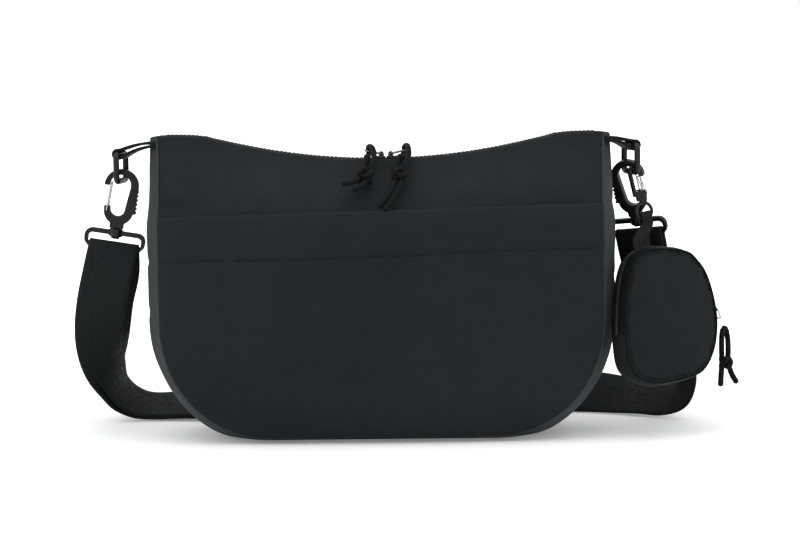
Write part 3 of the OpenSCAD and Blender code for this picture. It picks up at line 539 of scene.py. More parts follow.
def smooth_share(table, blur=0.022):
    """A share from 0 to 1 by relative height, its corners rounded."""
    xs = np.linspace(-0.2, 1.2, 1401)
    ys = np.interp(xs, [t[0] for t in table], [t[1] for t in table])
    k = np.exp(-0.5 * (np.arange(-120, 121) * 0.001 / blur) ** 2)
    soft = np.convolve(np.pad(ys, 120, "edge"), k / k.sum(), "valid")
    return lambda q: np.interp(q, xs, soft)


seam_share = smooth_share([(0, 0.84), (0.09, 0.95), (0.26, 1), (0.52, 1), (0.72, 0.95),
                           (0.85, 0.7), (0.93, 0.42), (1, 0.25)])
belly_share = smooth_share([(hem_z / bag_h, 0), (0.09, 0.8), (0.26, 1), (0.6, 1), (0.8, 0.6),
                            (0.93, 0.25), (1, 0)])
swell_share = smooth_share([(0.02, 0.7), (0.06, 1), (0.4, 1), (0.7, 1), (0.8, 0.85), (1, 0.6)], 0.012)


def top_z(x):
    """Height of the bag's top: the zip's arc, levelling off softly at both ends."""
    arc = zip_cz - np.sqrt(zip_r**2 - np.minimum(np.abs(x), 180) ** 2)
    d = (arc - bag_h) / 1.6
    return bag_h + 0.2 - 1.6 * np.log1p(np.exp(-np.clip(d, -60, 60)))


def half_w(q):
    """Half the front's width at height q: straight above, an elliptical corner below."""
    down_corner = (corner_z - q) / (corner_z - hem_z)
    low = floor_half + corner_rx * np.sqrt(np.clip(1 - down_corner**2, 0, 1))
    high = bag_w / 2 + flare * (np.clip(q - mouth_h, 0, None) / (bag_h - mouth_h)) ** 2
    return np.where(q < corner_z, low, high)


def rise(x, q):
    """Height of a place whose row would be at q if the top were level."""
    return np.where(q <= mouth_h, q, mouth_h + (q - mouth_h) * (top_z(x) - mouth_h) / (bag_h - mouth_h))


def seam_y(q):
    return seam_gap / 2 * seam_share(q / bag_h)


def front_y(u, q):
    return seam_y(q) + belly * belly_share(q / bag_h) * (1 - np.abs(u) ** 3)


def pocket_y(u, q):
    return front_y(u, q) + mouth_gap * (1 - u**4) * np.clip((q - hem_z) / (mouth_h - hem_z), 0, 1.1) ** 1.5


# Where the pocket's mouth and its hem stitching run, across the front
mouth_x = [-166, -163.8, -131.7, -87.8, -30.1, 24.6, 56.0, 90.3, 160.4, 168]
mouth_z = [170.5, 170.7, 172.2, 173.0, 174.9, 175.8, 176.6, 177.6, 178.3, 178.3]
line_x = [-166, -161.9, -132.6, -93.7, -55.6, -17.4, 26.5, 55.9, 77.1, 106.4, 137.2, 159.9, 168]
line_z = [137.9, 138.2, 140.0, 140.8, 141.3, 142.3, 143.4, 144.9, 145.8, 146.3, 146.5, 146.3, 146.2]

# Dents: centre x and z, two reaches, angle in degrees, depth
upper_dents = [(-156, 179, 14, 3.4, -12, 3.0), (153, 206, 9, 12, 35, 2.6), (66, 183, 15, 2.6, 6, 0.9),
               (139, 181, 9, 2.6, -6, 0.9), (-40, 196, 30, 6, 8, 0.7), (95, 200, 26, 8, -12, 0.8),
               (-110, 200, 24, 9, 20, 0.8), (-3, 204, 9, 5, 0, 1.2), (150, 222, 8, 5, 20, 0.9),
               (-150, 221, 9, 4, -20, 0.7)]
pocket_dents = [(-20, 120, 60, 10, 4, 0.7), (70, 90, 40, 12, -8, 0.8), (-90, 70, 34, 12, 10, 0.8),
                (10, 48, 60, 9, 2, 0.9), (120, 60, 18, 26, -30, 1.2), (-128, 62, 16, 26, 30, 1.2),
                (100, 128, 30, 6, -4, 0.6), (-120, 118, 26, 7, 5, 0.6)]
back_dents = [(-40, 150, 60, 12, 6, 1.1), (60, 90, 50, 14, -8, 1.2), (-90, 60, 30, 20, 30, 1.3),
              (100, 180, 30, 10, 12, 1.0), (0, 205, 60, 6, 0, 0.8)]


def dented(x, z, list_of):
    total = np.zeros_like(x)
    for cx, cz, sx, sz, angle, depth in list_of:
        a = math.radians(angle)
        p = (x - cx) * math.cos(a) + (z - cz) * math.sin(a)
        q = -(x - cx) * math.sin(a) + (z - cz) * math.cos(a)
        total += depth * np.exp(-0.5 * ((p / sx) ** 2 + (q / sz) ** 2))
    return total


def uneven(x, z, scale, seed, detail=2):
    flat_x, flat_z = np.ravel(x), np.ravel(z)
    out = [noise.fractal(Vector((a / scale, seed, b / scale)), 0.8, 2.1, detail)
           for a, b in zip(flat_x, flat_z)]
    return np.array(out).reshape(np.shape(x))


def rows_for(top_q, low=22, high=40):
    a = np.linspace(0, np.pi / 2, low)
    below = corner_z - (corner_z - hem_z) * np.cos(a)
    above = np.linspace(corner_z, top_q, high)[1:]
    return np.concatenate([below, above])


u_cols = np.sin(np.linspace(-np.pi / 2, np.pi / 2, 73))


def edge_fade(u, reach=0.02):
    return 1 - np.exp(-((1 - np.abs(u)) / reach) ** 1.5)


def side_fade(u, q, reach):
    """1 at the side seam, dying away towards the middle."""
    return np.exp(-(1 - np.abs(u)) * half_w(q) / reach)


def cloth_panel(name, seed, dents, nodes, side=-1):
    """Front or back cloth: it sags and dents, puckers at the side seams and rolls into them."""
    q = rows_for(bag_h)[:, None] * np.ones_like(u_cols)[None, :]
    u = np.ones_like(q) * u_cols[None, :]
    x = half_w(q) * u
    z = rise(x, q)
    soft = edge_fade(u) * np.clip((bag_h - q) / 14, 0, 1)
    sag = soft * (0.8 * uneven(x, z, 62, seed) + 0.22 * uneven(x, z, 21, seed + 5))
    pucker = 0.22 * np.sin(z * 2 * np.pi / 8.5 + 2 * np.sin(z / 17)) * side_fade(u, q, 7) * (q > 20)
    roll_in = 2.0 * side_fade(u, q, 1.6)
    y = front_y(u, q) + sag + pucker - soft * dented(x, z, dents) - roll_in * 0.35
    outer = np.stack([x, side * y, z], -1)
    inner = np.stack([x * 0.9985, side * (np.abs(y) - cloth_t), z - 0.1], -1)
    return shell(name, outer, inner, 0.55, material=front_cloth, nodes=nodes, slot="shell_cloth",
                 level=1)


front = cloth_panel("front_cloth_panel", 3.1, upper_dents, ("front_panel",))
back = cloth_panel("back_cloth_panel", 11.7, back_dents, ("back_panel",), 1)


# Outside pocket: one more cloth over the front, with a folded hem at its mouth
def pocket_surface(x, z):
    """Depth of the pocket's outside at a place on the front."""
    q = np.minimum(z, mouth_h + 6)
    u = np.clip(x / half_w(q), -1, 1)
    over_line = z - np.interp(x, line_x, line_z)
    groove = 0.95 * np.exp(-(over_line / 1.1) ** 2)
    hem = 0.35 * (1 / (1 + np.exp(-(over_line - 0.4) / 0.5)))
    quilt = 0.16 * np.sin(x * 2 * np.pi / 6.2 + 3 * np.sin(x / 31)) * np.exp(-(over_line / 5) ** 2)
    sag = edge_fade(u) * (0.75 * uneven(x, z, 70, 21.3) + 0.2 * uneven(x, z, 20, 28.4))
    pucker = 0.25 * np.sin(z * 2 * np.pi / 9 + 2 * np.sin(z / 13)) * side_fade(u, q, 8) * (z > 20)
    roll_in = 0.75 * side_fade(u, q, 1.6)
    return (pocket_y(u, q) + cloth_t + hem + quilt + sag + pucker - groove - roll_in
            - edge_fade(u) * dented(x, z, pocket_dents))


pocket_rows = rows_for(mouth_h, 22, 58)
pu = np.ones((len(pocket_rows), 1)) * u_cols[None, :]
pq = np.ones_like(pu) * pocket_rows[:, None]
top_here = np.interp(half_w(pq) * pu, mouth_x, mouth_z)
pz = np.where(pq > corner_z,
              corner_z + (pq - corner_z) * (top_here - corner_z) / (mouth_h - corner_z), pq)
px = half_w(pq) * pu
py = pocket_surface(px, pz)
pocket_outer = np.stack([px, -py, pz], -1)
thin = cloth_t + 0.5 * (pz > np.interp(px, line_x, line_z))
pocket_inner = np.stack([px * 0.999, -(py - thin), pz], -1)
pocket = shell("pocket_cloth", pocket_outer, pocket_inner, 0.7, material=front_cloth,
               nodes=("pocket_panel",), slot="shell_cloth", level=1)

# A row of stitches along the hem
sx = np.linspace(-159.5, 160.5, 641)
sz = np.interp(sx, line_x, line_z)
sp = np.stack([sx, -pocket_surface(sx, sz), sz], -1)
sn = np.stack([sx * 0.0006, -np.ones_like(sx), np.zeros_like(sx)], -1)
stitches("pocket_stitching", sp, sn, 3.9, 2.7, 0.55, thread)

# Gusset: up one side, along the floor and up the other side
side_q = rows_for(bag_h, 26, 46)
sides_x = half_w(side_q)
sides_z = rise(sides_x, side_q)
floor_x = np.linspace(-floor_half, floor_half, 36)[1:-1]
floor_z = np.full(len(floor_x), float(hem_z))
path = np.concatenate([np.stack([-sides_x[::-1], sides_z[::-1], side_q[::-1]], -1),
                       np.stack([floor_x, floor_z, floor_z], -1),
                       np.stack([sides_x, sides_z, side_q], -1)])
step = np.gradient(path[:, :2], axis=0)
step /= np.linalg.norm(step, axis=1)[:, None]
out_x, out_z = step[:, 1], -step[:, 0]
v = np.sin(np.linspace(-np.pi / 2, np.pi / 2, 25))
floor_swell = 9
grow = np.where(path[:, 2] > hem_z + 0.01, side_swell * swell_share(path[:, 2] / bag_h), floor_swell)
blend_low = np.clip((path[:, 2] - hem_z) / 6, 0, 1)
grow = floor_swell * (1 - blend_low) + grow * blend_low
half = seam_y(path[:, 2]) - cloth_t + 0.2
bulge = (1 - v**2)[None, :]
gx = path[:, 0][:, None] + (out_x * grow)[:, None] * bulge
gy = half[:, None] * v[None, :]
gz = path[:, 1][:, None] + (out_z * grow)[:, None] * bulge


def gusset_crease(z, slope, reach, depth):
    """A crease across the gusset at height z, running up or down towards the back."""
    return depth * np.exp(-((gz - z - gy * slope) / reach) ** 2)


crease = np.where(gx < 0, gusset_crease(137, 0.12, 2.4, 1.5) + gusset_crease(96, -0.2, 3.5, 0.9),
                  gusset_crease(120, -0.15, 3, 1.2) + gusset_crease(178, 0.1, 3, 0.8))
sunk = (0.7 * uneven(gy + gx * 0.05, gz, 30, 41.0) - crease) * bulge * (gz > 25)
top_fold = 2.6 * np.exp(-(gy / 3.0) ** 2) * np.clip((gz - 196) / 30, 0, 1)
gx = gx + np.sign(gx) * (sunk - top_fold)
gz = np.maximum(0.15, gz)
gusset_outer = np.stack([gx, gy, gz], -1)
outwards = np.stack([out_x[:, None] + 0 * v, 0 * gx, out_z[:, None] + 0 * v], -1)
gusset_inner = gusset_outer - cloth_t * outwards
gusset_inner[..., 2] = np.maximum(gusset_inner[..., 2], 1.2)
gusset = shell("gusset_cloth_band", gusset_outer, gusset_inner, 0.3, material=gusset_cloth,
               nodes=("side_gusset",), slot="gusset_cloth", level=1)

# Seam ridge: the turned edges of panel and gusset, sewn face to face
for tag, s in (("front", -1), ("back", 1)):
    ridge = np.stack([path[:, 0] + out_x * 0.25, s * (seam_y(path[:, 2]) - 0.35),
                      np.clip(path[:, 1] + out_z * 0.25, 1.0, bag_h - 0.5)], -1)
    tube(f"seam_ridge_{tag}", spline(ridge[::2], 2.0), 1.9, 8, material=gusset_cloth,
         slot="gusset_cloth")


# Top zip: tapes and two interlocked spirals on one arc
def on_arc(a, y, up=0.0):
    """Place at an angle along the zip, y across it and up above its tapes."""
    r = zip_r - up
    return np.stack([r * np.sin(a), y + 0 * a, zip_cz - r * np.cos(a)], -1)


def facing_up(count):
    return np.tile([0.0, 0.0, 1.0], (count, 1))


zip_reach = 134  # from the middle to either end of the tapes
zip_half = math.asin(zip_reach / zip_r)
az = np.linspace(-zip_half, zip_half, 150)
ty = np.linspace(-10.6, -1.9, 9)
for tag, s, node in (("front", 1, "zip_tape_front"), ("back", -1, "zip_tape_back")):
    crown = 0.35 * np.cos((ty + 6.2) / 4.4 * np.pi / 2)
    up = np.stack([on_arc(az, s * y, 0.45 + c) for y, c in zip(ty, crown)], 1)
    low = np.stack([on_arc(az, s * y, -0.45) for y in ty], 1)
    shell(f"zip_tape_{tag}_woven", up, low, 0.5, material=tape_cloth, nodes=(node,), slot="webbing")
    stitches(f"zip_tape_{tag}_stitching", on_arc(az, s * -8.8, 0.95), facing_up(len(az)),
             3.2, 2.3, 0.42, thread)

coil_wire = 0.62
turns = 150
coil_half = zip_half - math.radians(0.25)
ph = np.linspace(0, 2 * np.pi * turns, turns * 12)
for tag, s, node in (("front", -1, "zip_coil_front"), ("back", 1, "zip_coil_back")):
    shift = 0 if s < 0 else np.pi
    a = -coil_half + (2 * coil_half) * ph / ph[-1]
    y = s * 1.05 + s * 1.25 * np.cos(ph + shift)
    line = on_arc(a, y, np.sin(ph + shift))
    tube(f"{node}_spiral", line, coil_wire, 6, material=coil_plastic, nodes=(node,),
         slot="black_plastic")

# Cloth tabs folded over the zip's ends
tab_from, tab_to, tab_half, tab_sewn = 128.5, 166.5, 9.3, 7.2
for tag, s in (("left", -1), ("right", 1)):
    gx2, gy2 = np.meshgrid(np.linspace(tab_from, tab_to, 20), np.linspace(-tab_half, tab_half, 13),
                           indexing="ij")
    corner = np.clip((132.5 - gx2) / 4, 0, 1)
    gy2 = gy2 * (1 - 0.14 * corner**2)
    lift = (0.4 * (1 - (gy2 / tab_half) ** 4) - 0.9 * np.clip((gx2 - 161) / 5, 0, 1) ** 2
            - 0.5 * corner)
    base = top_z(gx2) + 0.25
    outer = np.stack([s * gx2, gy2, base + lift + 0.5], -1)
    inner = np.stack([s * gx2, gy2, base + lift - 0.6], -1)
    shell(f"zip_end_fold_{tag}", outer, inner, 0.5, material=front_cloth,
          nodes=(f"zip_end_tab_{tag}",), slot="shell_cloth", level=1)
    xs = np.linspace(131.5, 163, 80)
    ys = np.linspace(-tab_sewn, tab_sewn, 40)
    for row, x, y in (("a", xs, -tab_sewn + 0 * xs), ("b", xs, tab_sewn + 0 * xs),
                      ("c", 131.3 + 0 * ys, ys)):
        stitches(f"zip_end_stitch_{tag}_{row}", np.stack([s * x, y, top_z(x) + 1.0], -1),
                 facing_up(len(x)), 3.0, 2.2, 0.42, thread)


# Places of the side hardware, worked out as in the CAD source
def cos_sin(a):
    return math.cos(math.radians(a)), math.sin(math.radians(a))


def leaned(v, a):
    c, s = cos_sin(a)
    return np.array([v[0] * c + v[2] * s, v[1], -v[0] * s + v[2] * c])


def pitched(v, a):
    c, s = cos_sin(a)
    return np.array([v[0], v[1] * c - v[2] * s, v[1] * s + v[2] * c])


def turned(v, a):
    c, s = cos_sin(a)
    return np.array([v[0] * c - v[1] * s, v[0] * s + v[1] * c, v[2]])


hook_lean = {"left": 9, "right": -13}
hook_pitch_right, hook_turn_right, loop_turn_right = 12, -25, -28


def dir_left(v):
    return leaned(v, hook_lean["left"])


def dir_right(v):
    return leaned(pitched(v, hook_pitch_right), hook_lean["right"])


def loop_dir_right(v):
    return dir_right(turned(v, loop_turn_right))


ring_bar, ring_h = 4.6, 25
ring_drop = ring_h - ring_bar
ring_top = {"left": np.array([-197, 0, 217.4]), "right": np.array([190, 0, 220.4])}
ring_turn = {"left": -8, "right": 16}
ring_low = {k: p - [0, 0, ring_drop] for k, p in ring_top.items()}
hook_side, hook_rise, bar_drop = 0.9, 40, 10.5
seat_right = ring_low["right"] + 5 * turned((0, 1, 0), ring_turn["right"])
swivel_left = ring_low["left"] - dir_left((-hook_side, 0, hook_rise))
swivel_right = seat_right - dir_right(turned((hook_side, 0, hook_rise), hook_turn_right))
bar_left = swivel_left - bar_drop * dir_left((0, 0, 1))
bar_right = swivel_right - bar_drop * dir_right((0, 0, 1))

# Webbing tabs round the rings' top bars
for tag, reach, lift, sign in (("left", 29, 7.5, 1), ("right", 22.1, 5.5, -1)):
    near = ring_bar / 2 + 0.3 + 0.75
    local = [(reach + 1, lift + 0.75), (reach * 0.72, lift + 0.55), (reach * 0.4, lift * 0.86)]
    local += [(near * c, near * s) for c, s in map(cos_sin, range(75, 301, 15))]
    local += [(reach * 0.4, lift * 0.45 - 1.0), (reach * 0.72, lift * 0.8 - 0.9), (reach + 1, lift - 0.85)]
    pts = [ring_top[tag] + turned((sign * a, 0, b), ring_turn[tag]) for a, b in local]
    wid = [turned((0, 1, 0), ring_turn[tag])] * len(pts)
    band(f"side_tab_{tag}_webbing", pts, wid, 19, 1.9, 0.9, material=tab_web,
         nodes=(f"side_tab_{tag}",), slot="webbing")

# Strap: on the same hardware as the CAD band, by a route nearer to the photograph's at the folds
strap_w, web_t = 38, 1.5
loop_bar_r, glide_bar_r = 2, 1.6
fold_r = loop_bar_r + 0.4 + web_t / 2


def bend(middle, r, back, up, angles):
    """Stops on an arc round a bar."""
    return [middle + r * (s * up - c * back) for c, s in map(cos_sin, angles)]


def rows_of(table):
    return [np.array(row) for row in table]


route_right = [(201, 16, 134), (206.5, 20, 112), (215, 26, 86), (227, 33, 60), (235, 42, 38), (235, 52, 22),
               (224, 63, 13.5), (205, 72, 13.5), (188, 79, 14.5), (168, 85, 15.6), (142, 88, 16),
               (105, 84, 15.5), (60, 76, 14)]
width_right = [(0.86, -0.5, 0.08), (0.82, -0.57, 0.04), (0.78, -0.63, 0), (0.73, -0.68, -0.05),
               (0.5, -0.83, -0.2), (0.18, -0.87, -0.42), (-0.12, -0.84, -0.52), (-0.2, -0.78, -0.58),
               (-0.12, -0.7, -0.68), (-0.03, -0.62, -0.76), (0, -0.6, -0.78), (0, -0.7, -0.7),
               (0, -0.88, -0.47)]
run_w = np.array([0, -0.91, -0.42])
run_a, run_b = np.array([20, 73, 12.6]), np.array([-110, 66, 12.6])
route_left = [(-160, 73.5, 9.5), (-194, 74.5, 9.5), (-211, 65.5, 20), (-218, 52.5, 36), (-221, 37, 54.5),
              (-220, 18, 78), (-216, 8, 102), (-209, -1, 128)]
width_left = [(0, -0.93, -0.36), (-0.06, -0.94, -0.34), (-0.12, -0.9, -0.42), (-0.34, -0.82, -0.45),
              (-0.75, -0.59, -0.3), (-0.96, -0.28, -0.06), (-0.99, -0.06, 0.1), (-0.99, 0, 0.15)]
route_back = [(-205, 9, 128), (-211.5, 16, 103), (-215.5, 24.5, 78.5), (-217, 42, 56.5), (-214, 54.5, 39),
              (-208.5, 66, 22.6), (-193.5, 74.8, 11.7), (-160, 73.8, 11.6)]
band_up = unit(np.cross(run_w, (1, 0, 0)))
layer = 1.95
glide_up = layer + web_t / 2 + 0.3 + glide_bar_r
glide_at = run_b + (run_a - run_b) * (-40 - run_b[0]) / (run_a[0] - run_b[0])
glide_r = glide_bar_r + 0.3 + web_t / 2
glide_bar = glide_at + glide_up * band_up
web_left, web_right = dir_left((-1, 0, 0)), loop_dir_right((1, 0, 0))
stops = [np.array([206.5, 24.5, 124])]
stops += bend(bar_right, fold_r, loop_dir_right((0, 1, 0)), dir_right((0, 0, 1)), np.linspace(180, 0, 9))
stops += rows_of(route_right) + [run_a, run_b] + rows_of(route_left)
stops += bend(bar_left, fold_r, np.array([0, 1, 0]), dir_left((0, 0, 1)), np.linspace(0, 180, 9))
stops += rows_of(route_back) + [run_b + layer * band_up, glide_at + layer * band_up]
stops += bend(glide_bar, glide_r, band_up, np.array([1, 0, 0]), range(30, 151, 30))
stops += [glide_at + (glide_up + glide_r) * band_up,
          glide_at + np.array([-30, -1.6, 0]) + layer * 2.2 * band_up]
wide = [web_right] * 10 + rows_of(width_right) + [run_w] * 2 + rows_of(width_left)
wide += [web_left] * 9 + rows_of(width_left[::-1]) + [run_w] * 9
band("strap_band", stops, wide, strap_w, web_t, 1.3, material=strap_web,
     nodes=("strap_webbing",), slot="webbing")


# Moulded and cast parts: the CAD solid with its edges rounded
def rounded(node, name, voxel, passes, material):
    source = frame["nodes"][node]
    o = bpy.data.objects.new(name, source.data.copy())
    scene.collection.objects.link(o)
    remesh = o.modifiers.new("remesh", "REMESH")
    remesh.mode = "VOXEL"
    remesh.voxel_size = voxel * MM
    soften = o.modifiers.new("soften", "SMOOTH")
    soften.factor = 0.5
    soften.iterations = passes
    bpy.context.view_layer.update()
    done = bpy.data.meshes.new_from_object(o.evaluated_get(bpy.context.evaluated_depsgraph_get()))
    o.modifiers.clear()
    o.data = done
    done.name = name
    done.materials.clear()
    done.materials.append(material)
    done.polygons.foreach_set("use_smooth", [True] * len(done.polygons))
    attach(o, source["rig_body"])
    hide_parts(node)


for side in ("left", "right"):
    rounded(f"snap_hook_{side}", f"snap_hook_{side}_cast", 0.45, 5, black_plastic)
    rounded(f"swivel_loop_{side}", f"swivel_loop_{side}_cast", 0.5, 4, black_plastic)
    rounded(f"zip_slider_{side}", f"zip_slider_{side}_cast", 0.22, 4, black_metal)
rounded("clasp_hook", "clasp_hook_cast", 0.32, 4, black_plastic)
rounded("strap_adjuster", "strap_adjuster_moulded", 0.45, 5, black_plastic)
rounded("pouch_zip_slider", "pouch_zip_slider_cast", 0.2, 4, black_metal)

# Rings, eye and wires keep their CAD solids
carried = {"side_ring_left": black_plastic, "side_ring_right": black_plastic,
           "hook_gate_left": bare_wire, "hook_gate_right": bare_wire, "zip_bail_left": dark_wire,
           "zip_bail_right": dark_wire, "pouch_zip_bail": bare_wire, "clasp_gate": bare_wire,
           "clasp_eye": black_plastic}
for node, material in carried.items():
    o = frame["nodes"][node]
    o.data.materials.clear()
    o.data.materials.append(material)

# Pouch, in its own frame: x across, y towards the bag's back, z up
pouch_at = np.array([211.7, -23.8, 93.3])
pouch_turn, pouch_lean, pouch_pitch = math.radians(23), math.radians(-4), math.radians(-9)
pouch_frame = np.array(Matrix.Rotation(pouch_turn, 3, "Z") @ Matrix.Rotation(pouch_lean, 3, "Y")
                       @ Matrix.Rotation(pouch_pitch, 3, "X"))
pouch_w, pouch_h, pouch_d, pouch_belly, pouch_t, swell = 79, 99, 21, 4.5, 1.5, 3.0
drawn_w, drawn_h = 74.4, 92.4


def placed(points):
    return np.asarray(points, float) @ pouch_frame.T + pouch_at


# Its outline as drawn, from the bottom up the right side and round, then scaled to size
outline = [(4.4, -45.6), (12, -44.7), (19.3, -42.6), (25.2, -37.8), (29.7, -31.6), (33.1, -24.8),
           (35.3, -17.5), (36.8, -10), (37.2, -2.4), (36.9, 5.3), (36, 12.9), (34.5, 20.4),
           (32, 27.6), (27.9, 34.1), (22.9, 39.7), (15.8, 42.7), (8.3, 44.2), (0.8, 45.4),
           (-6.8, 46.2), (-14.3, 44.8), (-20.8, 40.8), (-25, 34.5), (-28, 27.5), (-30.4, 20.2),
           (-32.4, 12.8), (-34, 5.3), (-35.4, -2.2), (-36.5, -9.7), (-37.1, -17.4), (-37.2, -25),
           (-36.2, -32.6), (-32.1, -38.9), (-25.7, -43), (-18.5, -45.6), (-10.9, -46.2),
           (-3.2, -46)]
outline = [(x * pouch_w / drawn_w, z * pouch_h / drawn_h) for x, z in outline]
closed = np.array(outline + [outline[0]])
rim = spline(np.c_[closed[:, 0], 0 * closed[:, 0], closed[:, 1]], 1.6)[:-1][:, [0, 2]]
n_rim = len(rim)
outward = np.roll(rim, -1, 0) - np.roll(rim, 1, 0)
outward = np.stack([outward[:, 1], -outward[:, 0]], -1)
outward /= np.linalg.norm(outward, axis=1)[:, None]
around = np.arange(n_rim) / n_rim * 2 * np.pi


def domed(r):
    """How far the face stands out at a share of the way from its middle to its edge."""
    return pouch_d / 2 + pouch_belly * (1 - r**2.4)


def pouch_face(name, node, s):
    """Domed cloth face, gathered where its edge is sewn to the side band."""
    shares = np.array([1.0, 0.985, 0.96, 0.92, 0.86, 0.78, 0.68, 0.56, 0.42, 0.28, 0.14])
    outer, inner = [], []
    for r in shares:
        x, z = rim[:, 0] * r, rim[:, 1] * r
        y = np.full(n_rim, domed(r))
        gather = 0.42 * np.exp(-((1 - r) / 0.09) ** 1.2) * np.sin(34 * around + 2.2 * np.sin(5 * around))
        gather += 0.3 * np.exp(-((1 - r) / 0.2) ** 1.5) * np.sin(13 * around + 1.5 * np.sin(3 * around + s))
        sink = 0.9 * math.exp(-((1 - r) / 0.02) ** 2) + 0.5 * math.exp(-(((1 - r) - 0.05) / 0.016) ** 2)
        bumps = [noise.noise(Vector((a / 24, s * 3.0, b / 24))) for a, b in zip(x, z)]
        sag = 0.5 * np.array(bumps) * (1 - r**3)
        outer.append(np.stack([x, s * (y + gather - sink + sag), z], -1))
        inner.append(np.stack([x, s * (y - pouch_t), z], -1))
    k = len(shares)
    centre_y = pouch_d / 2 + pouch_belly
    points = np.concatenate([*outer, [[0, s * centre_y, 0]],
                             *inner, [[0, s * (centre_y - pouch_t), 0]]])
    n = k * n_rim
    last = n - n_rim
    faces = grid_faces(k, n_rim, 0, True) + [(last + i, last + (i + 1) % n_rim, n) for i in range(n_rim)]
    faces += [tuple(a + n + 1 for a in f) for f in faces]
    faces += [(i, n + 1 + i, n + 1 + (i + 1) % n_rim, (i + 1) % n_rim) for i in range(n_rim)]
    o = make(name, placed(points), faces, body="pouch", material=pouch_cloth, nodes=(node,),
             slot="shell_cloth", level=1)
    sewn = 0.95
    line = np.stack([rim[:, 0] * sewn, np.full(n_rim, s * (domed(sewn) - 0.1)), rim[:, 1] * sewn], -1)
    stitches(f"{name}_stitching", placed(np.concatenate([line, line[:1]])),
             np.tile(pouch_frame @ np.array([0, s, 0.0]), (n_rim + 1, 1)), 3.2, 2.3, 0.45, thread,
             "pouch")
    piping = np.stack([rim[:, 0] + outward[:, 0] * 0.3, np.full(n_rim, s * (pouch_d / 2 - 0.4)),
                       rim[:, 1] + outward[:, 1] * 0.3], -1)
    tube(f"{name}_piping", placed(np.concatenate([piping, piping[:3]])), 1.7, 9, body="pouch",
         material=pouch_tape, slot="webbing")


pouch_face("pouch_front_cloth", "pouch_front", -1)
pouch_face("pouch_back_cloth", "pouch_back", 1)

# Side band: cloth round the bottom, zip from the right side over the top to the left
zip_from, zip_to = 7, 27
start_i, end_i = (int(np.argmin(np.hypot(*(rim - outline[k]).T))) for k in (zip_from, zip_to))
zip_list = [i % n_rim for i in range(start_i, end_i + 1)]
low_list = [i % n_rim for i in range(end_i, n_rim + start_i + 1)]


def side_strip(name, node, which, y_low, y_high, material, slot):
    """A strip of the side band over some of the rim's points, bulging like the whole."""
    ys = np.linspace(y_low, y_high, 9)
    outer, inner = [], []
    for i in which:
        e = 2 * ys / pouch_d
        p = rim[i][None, :] + outward[i][None, :] * (swell * (1 - e**2))[:, None]
        outer.append(np.stack([p[:, 0], ys, p[:, 1]], -1))
        p = p - outward[i][None, :] * pouch_t
        inner.append(np.stack([p[:, 0], ys, p[:, 1]], -1))
    shell(name, placed(np.array(outer)), placed(np.array(inner)), 0.4, body="pouch",
          material=material, nodes=(node,), slot=slot)


band_half, tape_gap, coil_pitch = 10, 1.7, 1.7
side_strip("pouch_band_cloth", "pouch_gusset", low_list, -band_half, band_half, pouch_side,
           "gusset_cloth")
side_strip("pouch_tape_front", "pouch_zip_tape_front", zip_list, -band_half, -tape_gap, pouch_tape,
           "webbing")
side_strip("pouch_tape_back", "pouch_zip_tape_back", zip_list, tape_gap, band_half, pouch_tape,
           "webbing")
zp = rim[zip_list]
zo = outward[zip_list]
zl = lengths(np.c_[zp, 0 * zp[:, 0]])
turns = int(zl[-1] / coil_pitch)
ph = np.linspace(0, 2 * np.pi * turns, turns * 12)
for tag, s in (("front", -1), ("back", 1)):
    at_s = ph / ph[-1] * zl[-1]
    base = np.stack([np.interp(at_s, zl, zp[:, 0]), np.interp(at_s, zl, zp[:, 1])], -1)
    norm_o = np.stack([np.interp(at_s, zl, zo[:, 0]), np.interp(at_s, zl, zo[:, 1])], -1)
    shift = 0 if s < 0 else np.pi
    off = swell - 0.65 + 0.75 * np.sin(ph + shift)
    y = s * 0.85 + s * 1.0 * np.cos(ph + shift)
    line = np.stack([base[:, 0] + norm_o[:, 0] * off, y, base[:, 1] + norm_o[:, 1] * off], -1)
    tube(f"pouch_coil_{tag}_spiral", placed(line), coil_wire, 6, body="pouch", material=pouch_coil,
         nodes=("pouch_zip_coil",), slot="black_plastic")


# Pouch tab: narrow webbing through the clasp's eye
def clasp_dir(v):
    return turned(leaned(pitched(v, clasp_pitch), clasp_lean), ring_turn["right"])


clasp_pitch, clasp_lean, clasp_low, clasp_out = -6, -12, -22.4, 8
eye_r, eye_wire = 6.2, 2.6
eye_v = clasp_low - 0.4 - eye_r - eye_wire / 2
c, s = cos_sin(ring_turn["right"])
clasp_at = ring_low["right"] + np.array([clasp_out * s, -clasp_out * c, 0])
tab_bar = clasp_at + (eye_v - eye_r) * clasp_dir((0, 0, 1))
tab_up = [(0, -2.6, -3), (0, -2.9, 1), (0, -1.8, 4.3), (0, 0, 5.2), (0, 1.8, 4.3), (0, 2.9, 1),
          (0, 2.6, -3)]
foot = np.array([193.6, -24.2, 140])
foot_back = np.array([199.5, -17.8, 141.5])
pouch_wide = np.array([math.cos(pouch_turn), math.sin(pouch_turn), 0])
tab_points = [foot, foot + [-0.6, 2, 9]] + [tab_bar + clasp_dir(p) for p in tab_up]
tab_points += [foot_back + [-1.2, 1.6, 10], foot_back]
tab_wide = [pouch_wide] * 2 + [clasp_dir((1, 0, 0))] * 7 + [pouch_wide] * 2
band("pouch_tab_webbing", tab_points, tab_wide, 8.2, 1.2, 0.7, body="pouch", material=tab_web,
     nodes=("pouch_tab",), slot="webbing")

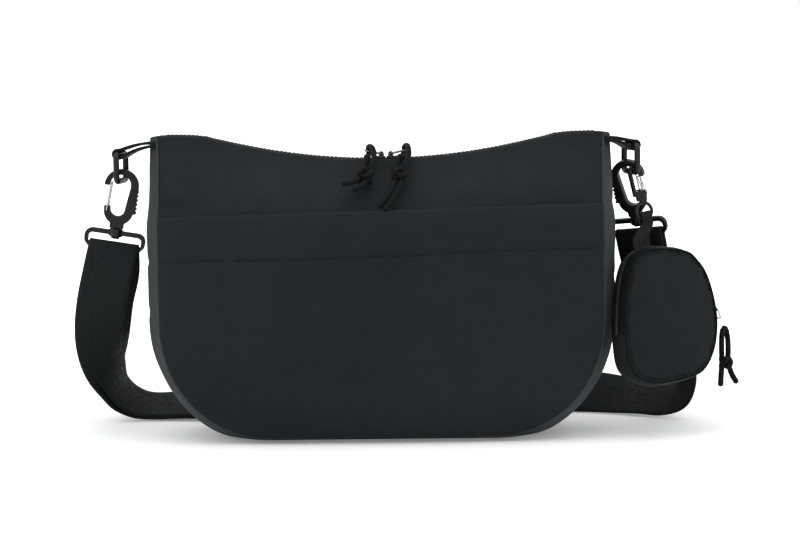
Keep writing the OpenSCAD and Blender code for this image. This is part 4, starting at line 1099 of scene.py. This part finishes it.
# Floor, light and background
floor_mesh = bpy.data.meshes.new("floor")
floor_mesh.from_pydata([(-6, -4, 0), (6, -4, 0), (6, 8, 0), (-6, 8, 0)], [], [(0, 1, 2, 3)])
floor = bpy.data.objects.new("floor", floor_mesh)
scene.collection.objects.link(floor)
m, tree, bsdf = shader("floor_white")
place = tree.nodes.new("ShaderNodeTexCoord").outputs["Object"]
cloudy = noise_map(tree, place, 3, 2, 0.3, 0.7)
tree.links.new(mixed(tree, "MIX", (0.93, 0.93, 0.93), (0.96, 0.96, 0.96), cloudy),
               bsdf.inputs["Base Color"])
bsdf.inputs["Roughness"].default_value = 0.9
bsdf.inputs["Specular IOR Level"].default_value = 0.0
# It keeps the bag's shadow and fades into the white backdrop from 0.3 to 0.62 m away
reach = tree.nodes.new("ShaderNodeVectorMath")
reach.operation = "LENGTH"
tree.links.new(place, reach.inputs[0])
fade = map_range(tree, reach.outputs["Value"], 0.3, 0.62, 0.16, 1.0)
fade.interpolation_type = "SMOOTHSTEP"
look = tree.nodes.new("ShaderNodeLightPath")
bsdf.inputs["Emission Color"].default_value = (1, 1, 1, 1)
glow = maths(tree, "MULTIPLY", fade.outputs["Result"], look.outputs["Is Camera Ray"])
tree.links.new(glow, bsdf.inputs["Emission Strength"])
floor_mesh.materials.append(m)

world = bpy.data.worlds.new("studio")
scene.world = world
world.use_nodes = True
sky = world.node_tree
background = sky.nodes["Background"]
background.inputs["Color"].default_value = (1, 1, 1, 1)
rays = sky.nodes.new("ShaderNodeLightPath").outputs
seen = maths(sky, "MAXIMUM", rays["Is Camera Ray"], rays["Is Transmission Ray"])
strength = map_range(sky, seen, 0.0, 1.0, 0.75, 1.0)
sky.links.new(strength.outputs["Result"], background.inputs["Strength"])


def lamp(name, place, target, size, energy):
    data = bpy.data.lights.new(name, "AREA")
    data.shape = "RECTANGLE"
    data.size, data.size_y = size
    data.energy = energy
    o = bpy.data.objects.new(name, data)
    scene.collection.objects.link(o)
    o.location = place
    o.rotation_euler = (Vector(target) - Vector(place)).to_track_quat("-Z", "Y").to_euler()


lamp("overhead", (0, -0.5, 1.7), (0, 0, 0.1), (2.2, 1.6), 15)
lamp("side_left", (-1.5, -0.5, 0.7), (0, 0, 0.12), (1.0, 1.0), 6)
lamp("side_right", (1.5, -0.5, 0.7), (0, 0, 0.12), (1.0, 1.0), 6)

scene.view_settings.view_transform = "Standard"
